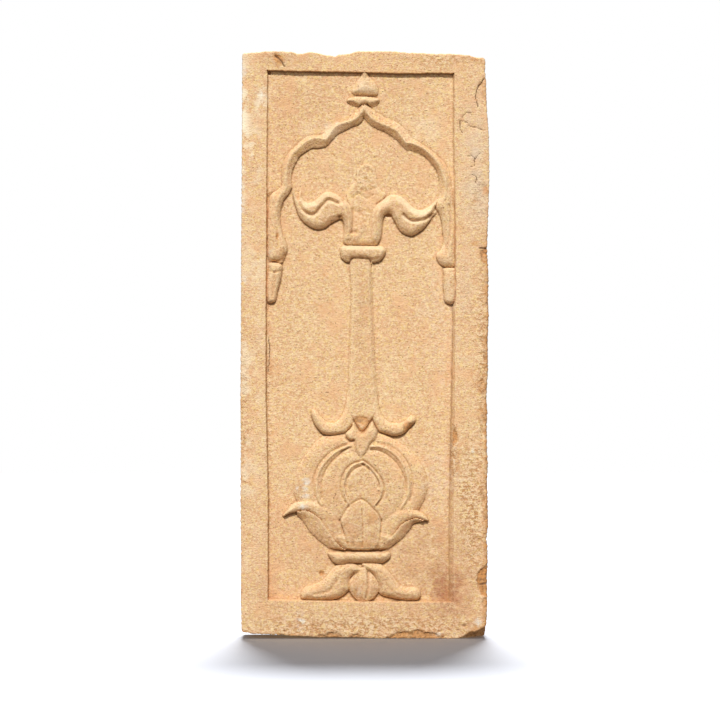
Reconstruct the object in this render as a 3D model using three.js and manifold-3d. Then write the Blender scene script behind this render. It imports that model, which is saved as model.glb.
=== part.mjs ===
// A sandstone relief panel: one upright slab with a sunk field, in which a cusped arch stands over a column
// that rises from a round vase, a lotus cup, a ring and a leafy foot. It is one stone, so it is one solid.
// Millimetres, +Z up, origin at the centre of the flat back, carved front towards -Y.
import * as THREE from "three";
import Module from "manifold-3d";

const wasm = await Module();
wasm.setup();
const { Manifold, Mesh } = wasm;

// The slab.
const WIDTH = 390;
const HEIGHT = 922;
const THICKNESS = 68;
const ARRIS = 3.2; // worn edge, front and back
const FRONT = -THICKNESS;

// The sunk field and the raised ground above the arch.
const FIELD_DEPTH = 10;
const FIELD = FRONT + FIELD_DEPTH;
const DRAFT = 1.2; // lean of the field's walls
const SPANDREL_RISE = 2.2;

// How the carving is cut up into facets.
const ROOT = 3; // depth of each carved form inside the slab
// Where the facets meet, from one edge of a form (-1) to the other (1). The broad vase has a tighter edge.
const EVEN = [-1, -0.87, -0.5, 0, 0.5, 0.87, 1];
const WIDE = [-1, -0.95, -0.7, 0, 0.7, 0.95, 1];
const STEP = 9; // about the length of a facet along a form
const WELD = 0.02; // facets that differ by less than this are joined

// How far each edge of the slab wanders inwards from the plain rectangle, at even stations, going round it
// counterclockwise as seen from the front.
const BOTTOM_EDGE = [8.6, 7.2, 6.8, 5.4, 3.4, 2.6, 2.4, 1.4, 0.8, 0, 0.4, 2];
const RIGHT_EDGE = [6, 3.6, 3.8, 3.6, 4.2, 4, 3.6, 2.8, 3, 2.4, 3.5, 1.6, 0.2, 1.4, 4.7, 6];
const TOP_EDGE = [9, 6, 4.5, 4.5, 3.3, 2.2, 0.2, 0, 1, 6.4, 6, 1.6, 1.4, 0.6, 1.6, 3.5];
const LEFT_EDGE = [2.4, 2.8, 2.2, 1.6, 1.1, 0.9, 0, 0.8, 0, 0.6, 0.4, 2];
const CORNER_ROUND = 5;
const SPIKE = 0.7; // small tool bites along the edges
const BITE = 23; // and about how far apart they are

// Where the walls of the field stand, as [x, z] round the opening.
const FIELD_RING = [
  [-153, 430], [0, 427.5], [139, 427], [138, 306], [141, 205], [139, 40], [137, -133], [134, -275],
  [135, -402], [-8, -401.5], [-152, -398], [-152, -243], [-154.5, -86], [-154, 55], [-153, 228],
];
const FIELD_MIDDLE = [-8, 13];
const SPANDREL_FOOT = 244; // height of the foot of the raised ground above the arch, on the left

// Chips in the border: centre, then half sizes along x, y and z.
const CHIPS = [
  { at: [179, FRONT - 1, 397], size: [11, 5, 23] },
  { at: [186, FRONT, -372], size: [12, 7, 26] },
  { at: [192, FRONT, 152], size: [6, 5, 5] },
];
// The corner broken off below right: a point on the break, the way it faces, the size of the cutter.
const CORNER = { at: [176, FRONT, -452], faces: [0.62, -0.5, -0.72], size: 60 };

// Sections of the forms, from one edge (-1) to the other (1), as a share of the height.
const round = (s) => Math.sqrt(Math.max(0, 1 - s * s));
const dome = (s) => Math.pow(Math.max(0, 1 - s * s), 0.3);
const plank = (s) => Math.min(1, 3.2 * (1 - Math.abs(s)));
const roof = (s) => 1 - 0.75 * Math.abs(s) - 0.25 * s * s;
// A band with its crest nearer one edge: a long slope on one side, a steep one on the other.
const crested = (crest) => (s) => {
  const run = s < crest ? (s + 1) / (crest + 1) : (1 - s) / (1 - crest);
  return Math.sin((run * Math.PI) / 2);
};

// The carved forms. Each runs through stations of [x, z, half width, height above the field].
const CARVING = [
  // The cusped arch, from its point down to the cusps, and on round the lobes.
  {
    form: crested(-0.1),
    path: [
      [-2, 378, 8, 8], [-12, 363, 9, 8], [-27, 352, 9.4, 8], [-42, 346, 9.4, 8], [-53, 335, 9.4, 8],
      [-63, 322, 7.9, 7.5],
    ],
  },
  {
    form: crested(0.1),
    path: [
      [1, 378, 8, 8], [11, 361, 9, 8], [25, 352, 9.4, 8], [41, 346, 9.4, 8], [54, 335, 9.4, 8],
      [66, 319, 7.9, 7.5],
    ],
  },
  {
    form: crested(-0.1),
    path: [
      [-60, 321, 6.3, 7], [-77, 322, 7.9, 8], [-91, 317, 9.4, 8], [-103, 308, 9.4, 8],
      [-114, 295, 9.4, 8], [-121, 281, 8.6, 8], [-123, 266, 7.9, 8], [-121, 246, 6.3, 7.5],
    ],
  },
  {
    form: crested(0.1),
    path: [
      [63, 318, 6.3, 7], [80, 313, 7.9, 8], [94, 306, 9.4, 8], [107, 295, 9.4, 8], [116, 283, 9.4, 8],
      [123, 267, 8.6, 8], [126, 250, 7.9, 8], [123, 233, 7.1, 8], [115, 217, 4.7, 7],
    ],
  },
  // The leaves that hang from its feet against the border, each with a tassel.
  {
    form: round,
    path: [
      [-117, 249, 4.7, 7], [-135, 234, 9.4, 9.2], [-143, 219, 9.4, 9.6], [-143, 201, 7.9, 9],
      [-140, 184, 6.3, 8.2], [-136, 168, 9.4, 9], [-136, 151, 13.3, 9.6], [-139, 135, 9.4, 8.8],
    ],
  },
  {
    form: round,
    path: [
      [114, 221, 4.7, 7], [127, 209, 7.9, 9], [134, 195, 7.9, 9.4], [136, 178, 7.1, 8.6],
      [132, 160, 9.4, 9], [129, 146, 12.6, 9.6], [129, 134, 11, 9], [133, 122, 7.9, 8.2],
    ],
  },
  {
    form: round,
    path: [
      [-143, 133, 9.4, 7], [-143, 116, 9.4, 8.8], [-145, 99, 8.6, 8.8], [-147, 82, 7.1, 8],
      [-147, 69, 5.5, 6.5],
    ],
  },
  {
    form: round,
    path: [
      [131, 120, 7.9, 7], [133, 102, 8.6, 8.8], [134, 87, 8.6, 8.4], [135, 69, 7.1, 7],
    ],
  },
  // The bud and its cushion on the point of the arch.
  {
    form: round,
    path: [
      [-1, 430, 1.6, 6], [-1, 421, 9.4, 8.6], [-1, 412, 15.7, 9.4], [-1, 402, 19.6, 9.6],
      [-1, 394, 17.3, 8.8],
    ],
  },
  {
    form: round,
    path: [
      [-28, 384, 1.6, 3], [-17, 384, 6.3, 7.6], [-1, 385, 7.1, 8.6], [13, 384, 6.3, 7.6],
      [23, 385, 1.6, 3],
    ],
  },
  // The capital: a stem and two rolled leaves to each side, over a neck.
  {
    form: round,
    path: [
      [-26, 208, 6.5, 6.5], [-26, 190, 7.1, 7], [-27, 166, 6.3, 7],
    ],
  },
  {
    form: round,
    path: [
      [17, 206, 7.5, 6.5], [17, 190, 7.5, 7], [17, 164, 6.3, 7],
    ],
  },
  {
    form: round,
    path: [
      [-112, 236, 1.6, 4], [-107, 219, 4.7, 6.5], [-97, 206, 7.4, 8], [-85, 197, 10.2, 8.8],
      [-72, 195, 11.8, 9], [-60, 201, 11.8, 8.6], [-47, 210, 12, 8.2], [-33, 212, 10, 7.6],
      [-22, 206, 6, 6],
    ],
  },
  {
    form: round,
    path: [
      [109, 210, 1.6, 4], [102, 201, 4.7, 6.5], [93, 191, 7.4, 8], [80, 186, 10.2, 8.8],
      [68, 186, 11.8, 9], [57, 194, 11.8, 8.6], [48, 205, 12, 8.2], [35, 213, 11, 7.6],
      [20, 208, 6.5, 6],
    ],
  },
  {
    form: round,
    path: [
      [-101, 238, 1.6, 3], [-97, 224, 3.5, 5], [-90, 216, 6.3, 6.6], [-81, 215, 7.9, 7.4],
      [-72, 222, 7.9, 7.4], [-63, 230, 7.9, 6.8], [-50, 233, 6.3, 6], [-37, 229, 5.5, 5],
      [-24, 220, 3.9, 3.5],
    ],
  },
  {
    form: round,
    path: [
      [111, 218, 1.6, 3], [99, 210, 4.7, 5.4], [88, 206, 7.9, 7], [77, 209, 8.6, 7.6],
      [68, 219, 8.6, 7.4], [57, 227, 7.9, 6.8], [44, 230, 6.3, 6], [32, 226, 4.7, 5],
      [20, 218, 3.1, 3.5],
    ],
  },
  {
    form: plank,
    path: [
      [-4, 222, 24, 2.2], [-4, 200, 27, 3.4], [-4, 178, 28, 4.4], [-4, 166, 29, 5.2],
      [-4, 159, 27, 5.6],
    ],
  },
  {
    form: dome,
    path: [
      [0, 283, 5, 0.8], [0, 275, 14, 1.4], [0, 264, 20.4, 1.6], [0, 253, 20.4, 1.6], [0, 244, 12.6, 1],
    ],
  },
  {
    form: round,
    path: [
      [-40, 147, 3.2, 5], [-29, 147, 8.8, 8.6], [-5, 147, 9.1, 9], [20, 147, 8.8, 8.6],
      [31, 147, 3.2, 5],
    ],
  },
  // The shaft.
  {
    form: plank,
    path: [
      [-6, 140, 15.7, 4.6], [-5, 87, 16.5, 4.6], [-5, 32, 18.1, 4.6], [-4, -23, 19.6, 4.6],
      [-3, -70, 22.8, 4.6], [-4, -100, 22.5, 4.6], [-4, -122, 12.6, 4.6], [-3, -138, 2, 4.2],
    ],
  },
  // The scrolls at its base, and the leaf that hangs between them.
  {
    form: crested(0.2),
    path: [
      [-27, -88, 5, 3], [-29, -110, 9.4, 5], [-40, -128, 10.5, 7], [-53, -131, 10.2, 8],
      [-66, -125, 8.6, 8], [-75, -115, 6.3, 7], [-81, -103, 3.1, 5],
    ],
  },
  {
    form: crested(-0.2),
    path: [
      [21, -88, 5, 3], [21, -110, 9.4, 5], [29, -127, 10.5, 7], [41, -132, 10.2, 8],
      [55, -131, 10.2, 8], [68, -124, 7.9, 7.6], [77, -110, 3.9, 5],
    ],
  },
  {
    form: round,
    path: [
      [-8, -124, 6, 6], [-18, -133, 8.6, 8], [-21, -145, 6, 7.4],
    ],
  },
  {
    form: round,
    path: [
      [1, -124, 6, 6], [11, -134, 8.6, 8], [12, -147, 6.5, 7.4],
    ],
  },
  {
    form: round,
    path: [
      [-5, -130, 12, 6], [-5, -142, 17, 8.4], [-5, -154, 14.5, 8.4], [-5, -167, 10, 8],
      [-5, -181, 1.6, 5.4],
    ],
  },
  // The vase, its two ribs to each side, and the drop between them.
  {
    form: dome,
    across: WIDE,
    path: [
      [-5, -118, 44, 2.4], [-5, -134, 72, 3.2], [-5, -150, 87, 3.6], [-5, -166, 96.5, 3.8],
      [-5, -186, 103, 4], [-5, -206, 105, 4], [-5, -226, 104, 4], [-5, -246, 97, 4], [-5, -268, 80, 4],
      [-5, -290, 55, 4], [-5, -312, 34, 3.6],
    ],
  },
  {
    form: round,
    path: [
      [-23, -160, 4.4, 5.4], [-39, -167, 4.4, 6], [-55, -178, 4.4, 6], [-67, -191, 4.4, 6],
      [-74, -204, 4.4, 6], [-76, -218, 4.4, 6], [-74, -230, 4.4, 6], [-70, -243, 4.4, 6],
      [-62, -256, 3.9, 5.4],
    ],
  },
  {
    form: round,
    path: [
      [14, -160, 4.4, 5.4], [30, -164, 4.4, 6], [43, -172, 4.4, 6], [55, -183, 4.4, 6],
      [64, -196, 4.4, 6], [68, -212, 4.4, 6], [68, -226, 4.4, 6], [64, -240, 4.4, 6],
      [54, -254, 3.9, 5.4],
    ],
  },
  {
    form: round,
    path: [
      [-4, -183, 3.6, 6], [-16, -189, 3.9, 6.4], [-27, -198, 3.9, 6.4], [-34, -208, 3.9, 6.4],
      [-36, -221, 3.9, 6.4], [-34, -232, 3.9, 6.4], [-26, -247, 3.1, 6],
    ],
  },
  {
    form: round,
    path: [
      [-4, -183, 3.6, 6], [8, -190, 3.9, 6.4], [17, -201, 3.9, 6.4], [24, -212, 3.9, 6.4],
      [27, -224, 3.9, 6.4], [24, -235, 3.9, 6.4], [16, -250, 3.1, 6],
    ],
  },
  {
    form: dome,
    path: [
      [-3, -191, 1.6, 4.6], [-4, -199, 12.6, 6.4], [-4, -212, 22, 7], [-4, -224, 24, 7],
      [-5, -238, 21, 7], [-5, -252, 12.6, 6.4],
    ],
  },
  // The lotus cup: the middle petal, and a petal with a rolled underside to each side.
  {
    form: roof,
    path: [
      [-5, -241, 1.6, 7], [-5, -252, 14.1, 9], [-5, -265, 25.1, 9.6], [-6, -284, 29.8, 9.8],
      [-6, -303, 28.3, 9.4], [-6, -319, 24, 8.4],
    ],
  },
  {
    form: crested(0.3),
    path: [
      [-132, -271, 1.6, 4], [-118, -259, 4.4, 7], [-103, -252, 7.2, 8.6], [-88, -252, 8.6, 9.2],
      [-72, -258, 10.4, 9.4], [-58, -269, 12.4, 9.4], [-49, -285, 12, 9.2], [-41, -303, 9, 8.8],
      [-32, -319, 5, 8],
    ],
  },
  {
    form: crested(-0.3),
    path: [
      [99, -275, 1.6, 4], [85, -267, 6.4, 7.4], [71, -266, 8.4, 8.8], [58, -269, 10.2, 9.2],
      [47, -278, 11.4, 9.2], [39, -289, 10.6, 9.2], [31, -302, 9, 8.8], [24, -318, 5, 8],
    ],
  },
  {
    form: round,
    path: [
      [-128, -269, 1.6, 3], [-111, -264, 3.4, 5], [-97, -268, 7.4, 6.2], [-84, -279, 10, 6.6],
      [-74, -291, 10, 6.8], [-63, -303, 8.4, 6.8], [-50, -314, 6, 6.6], [-38, -321, 3, 6],
    ],
  },
  {
    form: round,
    path: [
      [95, -275, 1.6, 3], [80, -277, 4, 5.4], [68, -284, 7.9, 6.4], [58, -293, 8.6, 6.8],
      [49, -303, 7.6, 6.8], [38, -313, 6, 6.6], [27, -321, 3, 6],
    ],
  },
  {
    form: plank,
    path: [
      [-56, -320, 2, 4], [-40, -321, 5.5, 5.6], [-8, -321, 6, 6], [24, -321, 5.5, 5.6],
      [40, -320, 2, 4],
    ],
  },
  // The ring, and the foot with a bud between two leaves.
  {
    form: round,
    path: [
      [-57, -331, 3.6, 6], [-45, -332, 9.2, 9.2], [-8, -332, 9.4, 9.6], [29, -332, 9.2, 9.2],
      [41, -331, 3.6, 6],
    ],
  },
  {
    form: plank,
    path: [
      [-38, -344, 3, 3], [-24, -348, 9, 4.4], [-2, -350, 12, 5], [20, -348, 9, 4.4], [34, -344, 3, 3],
    ],
  },
  {
    form: round,
    path: [
      [-18, -346, 6.3, 6.4], [-34, -358, 12.6, 8.2], [-49, -370, 15.7, 8.8], [-63, -381, 14.9, 8.8],
      [-78, -388, 11.8, 8.4], [-92, -392, 8.2, 7.6], [-104, -396, 3.1, 5],
    ],
  },
  {
    form: round,
    path: [
      [14, -346, 6.3, 6.4], [28, -359, 12.6, 8.2], [41, -372, 15.7, 8.8], [54, -382, 14.9, 8.8],
      [66, -389, 11.8, 8.4], [77, -391, 9.4, 8], [88, -392, 5.5, 6],
    ],
  },
  {
    form: roof,
    path: [
      [-1, -353, 4.7, 7], [-1, -365, 17.3, 9.4], [-1, -380, 25.1, 9.8], [-1, -392, 18.8, 9.4],
      [0, -403, 8, 8.6],
    ],
  },
];

// One smooth line through evenly spaced values.
const wander = (values, share) => {
  const place = share * (values.length - 1);
  const before = Math.min(Math.floor(place), values.length - 2);
  const t = place - before;
  const ease = t * t * (3 - 2 * t);
  return values[before] * (1 - ease) + values[before + 1] * ease;
};

// The ragged outline of the slab, counterclockwise from the front. Each edge stops short of its corners.
function slabOutline() {
  const right = WIDTH / 2;
  const high = HEIGHT / 2;
  const edges = [
    { length: WIDTH, offsets: BOTTOM_EDGE, place: (run, inset) => [run, inset - high] },
    { length: HEIGHT, offsets: RIGHT_EDGE, place: (run, inset) => [right - inset, run] },
    { length: WIDTH, offsets: TOP_EDGE, place: (run, inset) => [-run, high - inset] },
    { length: HEIGHT, offsets: LEFT_EDGE, place: (run, inset) => [inset - right, -run] },
  ];
  return edges.flatMap(({ length, offsets, place }, side) => {
    const start = edges.at(side - 1).offsets.at(-1) + CORNER_ROUND - length / 2;
    const end = length / 2 - edges[(side + 1) % 4].offsets[0] - CORNER_ROUND;
    const count = Math.round(length / BITE);
    return Array.from({ length: count + 1 }, (_, k) => {
      const bite = SPIKE * (0.5 + 0.5 * Math.sin((k + 4 * side) * 2.4));
      const inset = wander(offsets, k / count) + bite;
      return new THREE.Vector2(...place(start + ((end - start) * k) / count, inset));
    });
  });
}

// A three.js geometry as a solid.
function solidOf(geometry) {
  const plain = new THREE.BufferGeometry();
  const bare = geometry.index ? geometry.toNonIndexed() : geometry;
  plain.setAttribute("position", bare.getAttribute("position"));
  const corners = plain.getAttribute("position").array;
  const keys = new Map();
  const vertices = [];
  const triangles = [];
  for (let i = 0; i < corners.length; i += 3) {
    const key = [0, 1, 2].map((k) => Math.round(corners[i + k] * 1000)).join();
    if (!keys.has(key)) {
      keys.set(key, vertices.length / 3);
      vertices.push(corners[i], corners[i + 1], corners[i + 2]);
    }
    triangles.push(keys.get(key));
  }
  const vertProperties = new Float32Array(vertices);
  const triVerts = new Uint32Array(triangles);
  return new Manifold(new Mesh({ numProp: 3, vertProperties, triVerts }));
}

// A shape drawn as seen from the front, pulled from one depth to another.
function slabOf(outline, nearest, deepest, arris) {
  const geometry = new THREE.ExtrudeGeometry(new THREE.Shape(outline), {
    depth: deepest - nearest - 2 * arris,
    bevelEnabled: arris > 0,
    bevelThickness: arris,
    bevelSize: arris,
    bevelOffset: -arris,
    bevelSegments: 2,
    curveSegments: 1,
  });
  geometry.rotateX(Math.PI / 2);
  geometry.translate(0, deepest - arris, 0);
  return solidOf(geometry);
}

// A closed skin over rows of points, all rows of one length, with a fan at each end.
function skin(rows) {
  const positions = [];
  const face = (...corners) => corners.forEach((corner) => positions.push(...corner));
  const points = rows[0].length;
  for (let i = 0; i + 1 < rows.length; i++) {
    for (let k = 0; k < points; k++) {
      const next = (k + 1) % points;
      face(rows[i][k], rows[i][next], rows[i + 1][next]);
      face(rows[i][k], rows[i + 1][next], rows[i + 1][k]);
    }
  }
  const last = rows.length - 1;
  for (let k = 1; k + 1 < points; k++) {
    face(rows[0][0], rows[0][k + 1], rows[0][k]);
    face(rows[last][0], rows[last][k], rows[last][k + 1]);
  }
  const geometry = new THREE.BufferGeometry();
  geometry.setAttribute("position", new THREE.Float32BufferAttribute(positions, 3));
  const solid = solidOf(geometry);
  return solid.volume() < 0 ? solidOf(flipped(geometry)) : solid;
}

// The same triangles, facing the other way.
function flipped(geometry) {
  const turned = geometry.clone();
  const array = turned.getAttribute("position").array;
  for (let i = 0; i < array.length; i += 9) {
    const second = array.slice(i + 3, i + 6);
    array.copyWithin(i + 3, i + 6, i + 9);
    array.set(second, i + 6);
  }
  return turned;
}

// One carved form: its section is swept along the path, and sinks into the slab below the field.
function carved({ form, path, across = EVEN }) {
  const stations = path.map(([x, z]) => new THREE.Vector3(x, 0, z));
  const line = new THREE.CatmullRomCurve3(stations, false, "centripetal");
  const sizes = new THREE.SplineCurve(path.map(([, , half, height]) => new THREE.Vector2(half, height)));
  const count = Math.max(2, Math.round(line.getLength() / STEP));
  const rows = [];
  for (let i = 0; i <= count; i++) {
    const t = i / count;
    const middle = line.getPoint(t);
    const way = line.getTangent(t);
    const size = sizes.getPoint(t);
    const half = Math.max(size.x, 0.8);
    const row = [];
    for (const s of across) {
      const depth = FIELD - size.y * form(s);
      row.push([middle.x + way.z * half * s, depth, middle.z - way.x * half * s]);
    }
    row.push([middle.x + way.z * half, FIELD + ROOT, middle.z - way.x * half]);
    row.push([middle.x - way.z * half, FIELD + ROOT, middle.z + way.x * half]);
    rows.push(row);
  }
  return skin(rows);
}

// The opening of the field, from in front of the slab down to the field, with leaning walls.
function fieldCutter() {
  const [midX, midZ] = FIELD_MIDDLE;
  const lean = (value, middle, amount) => value + Math.sign(value - middle) * amount;
  const ring = (depth, amount) =>
    FIELD_RING.map(([x, z]) => [lean(x, midX, amount), depth, lean(z, midZ, amount)]);
  return skin([ring(FRONT - 2, DRAFT), ring(FIELD, 0)]);
}

// The raised ground above the arch: the field's upper part, down to the middle of the arch band.
function spandrel() {
  const arch = [
    [...CARVING[2].path].reverse(),
    [...CARVING[0].path].reverse(),
    CARVING[1].path,
    CARVING[3].path,
  ].flat();
  const [topLeft, topMiddle, topRight, right, lowRight] = FIELD_RING;
  const outline = [topLeft, [topLeft[0], SPANDREL_FOOT], ...arch, lowRight, right, topRight, topMiddle];
  const corners = outline.map(([x, z]) => new THREE.Vector2(x, z));
  return slabOf(corners, FIELD - SPANDREL_RISE, FIELD + ROOT, 0);
}

// An ellipsoid to chip the stone with.
function chip({ at, size }) {
  const ball = new THREE.SphereGeometry(1, 14, 10);
  ball.scale(...size);
  ball.translate(...at);
  return solidOf(ball);
}

// A box whose near face is the break.
function cornerCutter() {
  const box = new THREE.BoxGeometry(CORNER.size, CORNER.size, CORNER.size);
  box.translate(0, 0, CORNER.size / 2);
  const faces = new THREE.Vector3(...CORNER.faces).normalize();
  box.applyQuaternion(new THREE.Quaternion().setFromUnitVectors(new THREE.Vector3(0, 0, 1), faces));
  box.translate(...CORNER.at);
  return solidOf(box);
}

const slab = slabOf(slabOutline(), FRONT, 0, ARRIS).subtract(fieldCutter());
const worked = Manifold.union([slab, spandrel(), ...CARVING.map(carved)]);
const broken = Manifold.difference([worked, ...CHIPS.map(chip), cornerCutter()]);
const stone = broken.simplify(WELD);

const made = stone.getMesh();
const geometry = new THREE.BufferGeometry();
geometry.setAttribute("position", new THREE.BufferAttribute(new Float32Array(made.vertProperties), 3));
geometry.setIndex(new THREE.BufferAttribute(new Uint32Array(made.triVerts), 1));
const flat = geometry.toNonIndexed();
flat.computeVertexNormals();

const sandstone = new THREE.MeshStandardMaterial({ color: 0xd9b98a, roughness: 0.9, metalness: 0 });
const panel = new THREE.Mesh(flat, sandstone);
panel.name = "stone_panel";

const group = new THREE.Group();
group.name = "stone_relief_panel";
group.add(panel);
export default group;
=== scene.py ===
# %% [markdown]
# A carved sandstone panel.
# The real object is one upright slab of warm tan sandstone. A mason sank a field into its face and left the
# carving standing in it: a cusped arch over a column that rises from a vase, a lotus cup and a leafy foot.
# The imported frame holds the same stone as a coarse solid. Here it gets its real surface.

# %% Load the frame
import math

import bpy
import numpy as np
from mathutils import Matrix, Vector
from mathutils.kdtree import KDTree


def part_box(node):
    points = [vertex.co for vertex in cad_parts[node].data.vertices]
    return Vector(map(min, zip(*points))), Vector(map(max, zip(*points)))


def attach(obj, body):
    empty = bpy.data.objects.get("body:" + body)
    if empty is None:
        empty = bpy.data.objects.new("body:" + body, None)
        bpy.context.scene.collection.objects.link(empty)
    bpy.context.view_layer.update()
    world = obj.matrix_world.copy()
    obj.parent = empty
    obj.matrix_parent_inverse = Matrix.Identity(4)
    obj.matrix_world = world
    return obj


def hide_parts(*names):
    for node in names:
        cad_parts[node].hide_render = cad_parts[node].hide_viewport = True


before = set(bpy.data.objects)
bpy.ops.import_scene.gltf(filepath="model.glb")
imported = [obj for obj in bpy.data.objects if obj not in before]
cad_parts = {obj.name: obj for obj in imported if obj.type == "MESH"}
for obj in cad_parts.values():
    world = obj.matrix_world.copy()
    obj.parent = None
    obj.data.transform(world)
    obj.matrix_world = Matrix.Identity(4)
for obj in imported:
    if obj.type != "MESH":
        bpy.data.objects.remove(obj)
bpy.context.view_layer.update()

# %% [markdown]
# Sizes. All lengths of the carving are in millimetres, as a mason would measure them on the face of the
# slab: x to the right, z upwards, and depth or height square to the face. Blender works in metres, so every
# place is multiplied by MM when it goes into a mesh.

# %% Sizes of the slab
MM = 0.001
low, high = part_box("stone_panel")
HALF_WIDTH = max(-low.x, high.x) / MM
HALF_HEIGHT = max(-low.z, high.z) / MM
THICKNESS = (high.y - low.y) / MM
FIELD_DEPTH = 10.0
WALLS_AT = {"left": -153, "right": 139, "top": 428, "bottom": -400}
WALL_LEAN = {"left": 2.2, "right": 5.0, "top": 1.9, "bottom": 2.6}
SPANDREL_RISE = 2.6
ARRIS = 4.0
CORNER_ROUND = 5.0
print(f"slab {2 * HALF_WIDTH:.1f} x {THICKNESS:.1f} x {2 * HALF_HEIGHT:.1f} mm")


# %% [markdown]
# The camera first. The panel is seen square on, from far enough away that its sides don't show. The picture
# is square, 720 pixels a side, and one pixel on the face of the stone is about 1.57 mm.

# %% Camera
PIXEL = 1.57
PICTURE = 720
CAMERA_DISTANCE = 4.2
AIM_X, AIM_Z = -7.7, -23.2

view_width = PIXEL * PICTURE * MM
camera_data = bpy.data.cameras.new("camera")
camera = bpy.data.objects.new("camera", camera_data)
bpy.context.scene.collection.objects.link(camera)
bpy.context.scene.camera = camera
camera.location = (AIM_X * MM, -THICKNESS * MM - CAMERA_DISTANCE, AIM_Z * MM)
camera.rotation_euler = (math.pi / 2, 0, 0)
camera_data.sensor_width = 36
camera_data.lens = camera_data.sensor_width * CAMERA_DISTANCE / view_width
print(f"lens {camera_data.lens:.1f} mm")

# %% [markdown]
# The four edges of the slab. They were broken off with a pitching tool, so none is straight. Each edge is a
# short list of places along it and how far it stands inwards there. Small random bites are added between
# them. Each edge is then moved out a little, because the bites and the worn arris make it look smaller.

# %% Edges of the slab
TOP_EDGE = [
    (-186, 3.0), (-172, 2.2), (-154, 0.2), (-141, 0.3), (-118, 1.3), (-107, 3.9), (-99, 4.9),
    (-94, 2.2), (-82, 1.6), (-69, 4.9), (-60, 6.8), (-47, 8.6), (-42, 6.1), (-22, 3.9), (-17, 1.3),
    (-10, 0.2), (13, 0.2), (41, 0.3), (55, 1.4), (66, 2.8), (86, 3.1), (111, 4.6), (134, 4.2),
    (154, 5.5), (168, 6.8), (174, 8.8), (182, 10.4),
]
BOTTOM_EDGE = [
    (-186, 10.2), (-180, 7.9), (-157, 7.1), (-133, 6.6), (-118, 4.7), (-94, 3.9), (-70, 2.4), (-8, 2.4),
    (24, 0.8), (86, 0.8), (118, 0.1), (141, 0.1), (157, 0.6), (170, 1.0), (182, 2.2),
]
LEFT_EDGE = [
    (-446, 1.6), (-400, 0.6), (-340, 1.1), (-243, 0.0), (-165, 0.8), (-86, 0.0), (8, 0.8), (134, 1.1),
    (259, 2.0), (370, 2.6), (446, 2.8),
]
RIGHT_EDGE = [
    (-446, 7.0), (-431, 5.0), (-400, 4.0), (-361, 4.6), (-345, 3.5), (-314, 3.8), (-303, 5.5), (-282, 2.8),
    (-243, 3.5), (-212, 4.5), (-185, 3.2), (-165, 4.5), (-125, 5.0), (-102, 4.0), (-83, 5.5), (-55, 4.2),
    (-39, 3.0), (11, 3.5), (47, 1.9), (71, 2.7), (110, 1.3), (152, 3.5), (181, 2.7), (253, 0.2), (281, 0.0),
    (330, 0.8), (352, 2.2), (367, 3.6), (400, 4.7), (418, 5.0), (430, 7.0), (446, 6.4),
]
MOVED_OUT = {"left": 0.6, "bottom": 0.2, "top": 1.3}
RIGHT_MOVED_OUT = [(50, 1.5), (120, 0.5)]
FURTHEST_OUT = 1.0


def along(table, place):
    """A value read off a short table of stations."""
    stations, values = zip(*table)
    return np.interp(place, stations, values)


def wave(place, seed, length):
    """A smooth random line along one edge, from -1 to 1, that changes over about that length."""
    draw = np.random.default_rng(seed)
    total = np.zeros_like(place, dtype=float)
    for turn in range(6):
        stretch = length * draw.uniform(0.6, 2.0)
        total += np.sin(place / stretch * math.pi + draw.uniform(0, 2 * math.pi))
    return total / 6


def edge_inset(table, place, seed, moved_out):
    """How far an edge stands inwards at places along it, with its small bites."""
    ragged = 0.8 * wave(place, seed, 4.0) + 0.5 * wave(place, seed + 50, 1.8)
    return np.maximum(along(table, place) + ragged - moved_out, -FURTHEST_OUT)


for name, table in (("top", TOP_EDGE), ("right", RIGHT_EDGE)):
    print(name, "edge has", len(table), "places")

# %% [markdown]
# The sunk field. Its four walls lean back a little, the right one most of all low down, where the mason cut
# it on a long slope, and the field's top runs slightly downhill to the right. Each wall is a few stations,
# like the edges: the coordinate of the wall's foot at places along it.

# %% Walls of the field
FIELD_LEFT = [(-398, -150.8), (-243, -150.6), (-86, -154.0), (55, -154.0), (228, -153.0), (430, -151.5)]
FIELD_RIGHT = [
    (-402, 132.0), (-275, 132.0), (-133, 134.5), (40, 138.0), (58, 137.0), (76, 140.0), (205, 140.0),
    (306, 138.3), (330, 137.6), (427, 138.0),
]
FIELD_TOP = [(-152, 430.7), (-100, 429.2), (-8, 427.7), (55, 425.7), (100, 426.2), (139, 426.2)]
FIELD_BOTTOM = [(-152, -398.6), (-8, -401.5), (135, -402)]
RIGHT_WALL_LEAN = [(-402, 8.0), (-133, 6.5), (100, 3.6), (427, 3.0)]
print("the right wall leans", RIGHT_WALL_LEAN[-1][1], "to", RIGHT_WALL_LEAN[0][1], "mm")

# %% [markdown]
# The carved forms. The mason drew the design on the stone, cut the ground away round it and then shaped what
# was left, and the same is done here. A plate is an outline left standing, with a height above the ground and
# a shoulder that rounds off to its edge. Its height is one number, or two places with a height at each where
# the form slopes. Its shoulder is a width, with the share of the height that stands straight up at the edge.
# The arch is a pair of slopes that meet in a crest. A rib is a narrow raised band, an underside is a slope
# between two lines, and a groove is a line cut in at the end: how deep, how wide, and its places. Booleans of
# such pieces would leave seams that a worn stone hasn't, so all of them are carved into one fine surface.

# %% Sections
CUT_SHARE = 0.3
RIB_EDGE_SHARE = 0.45


def shouldered(way, cut_share):
    """The roll of a shoulder: the cut's share of the height at the edge, 1 where the shoulder ends."""
    way = np.clip(way, 0, 1)
    return cut_share + (1 - cut_share) * way * (2 - way)


def ridged(s):
    """A rib's section, from one edge (-1) over its ridge (0) to the other edge (1)."""
    return RIB_EDGE_SHARE + (1 - RIB_EDGE_SHARE) * np.clip(1 - np.abs(s), 0, 1)


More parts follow.
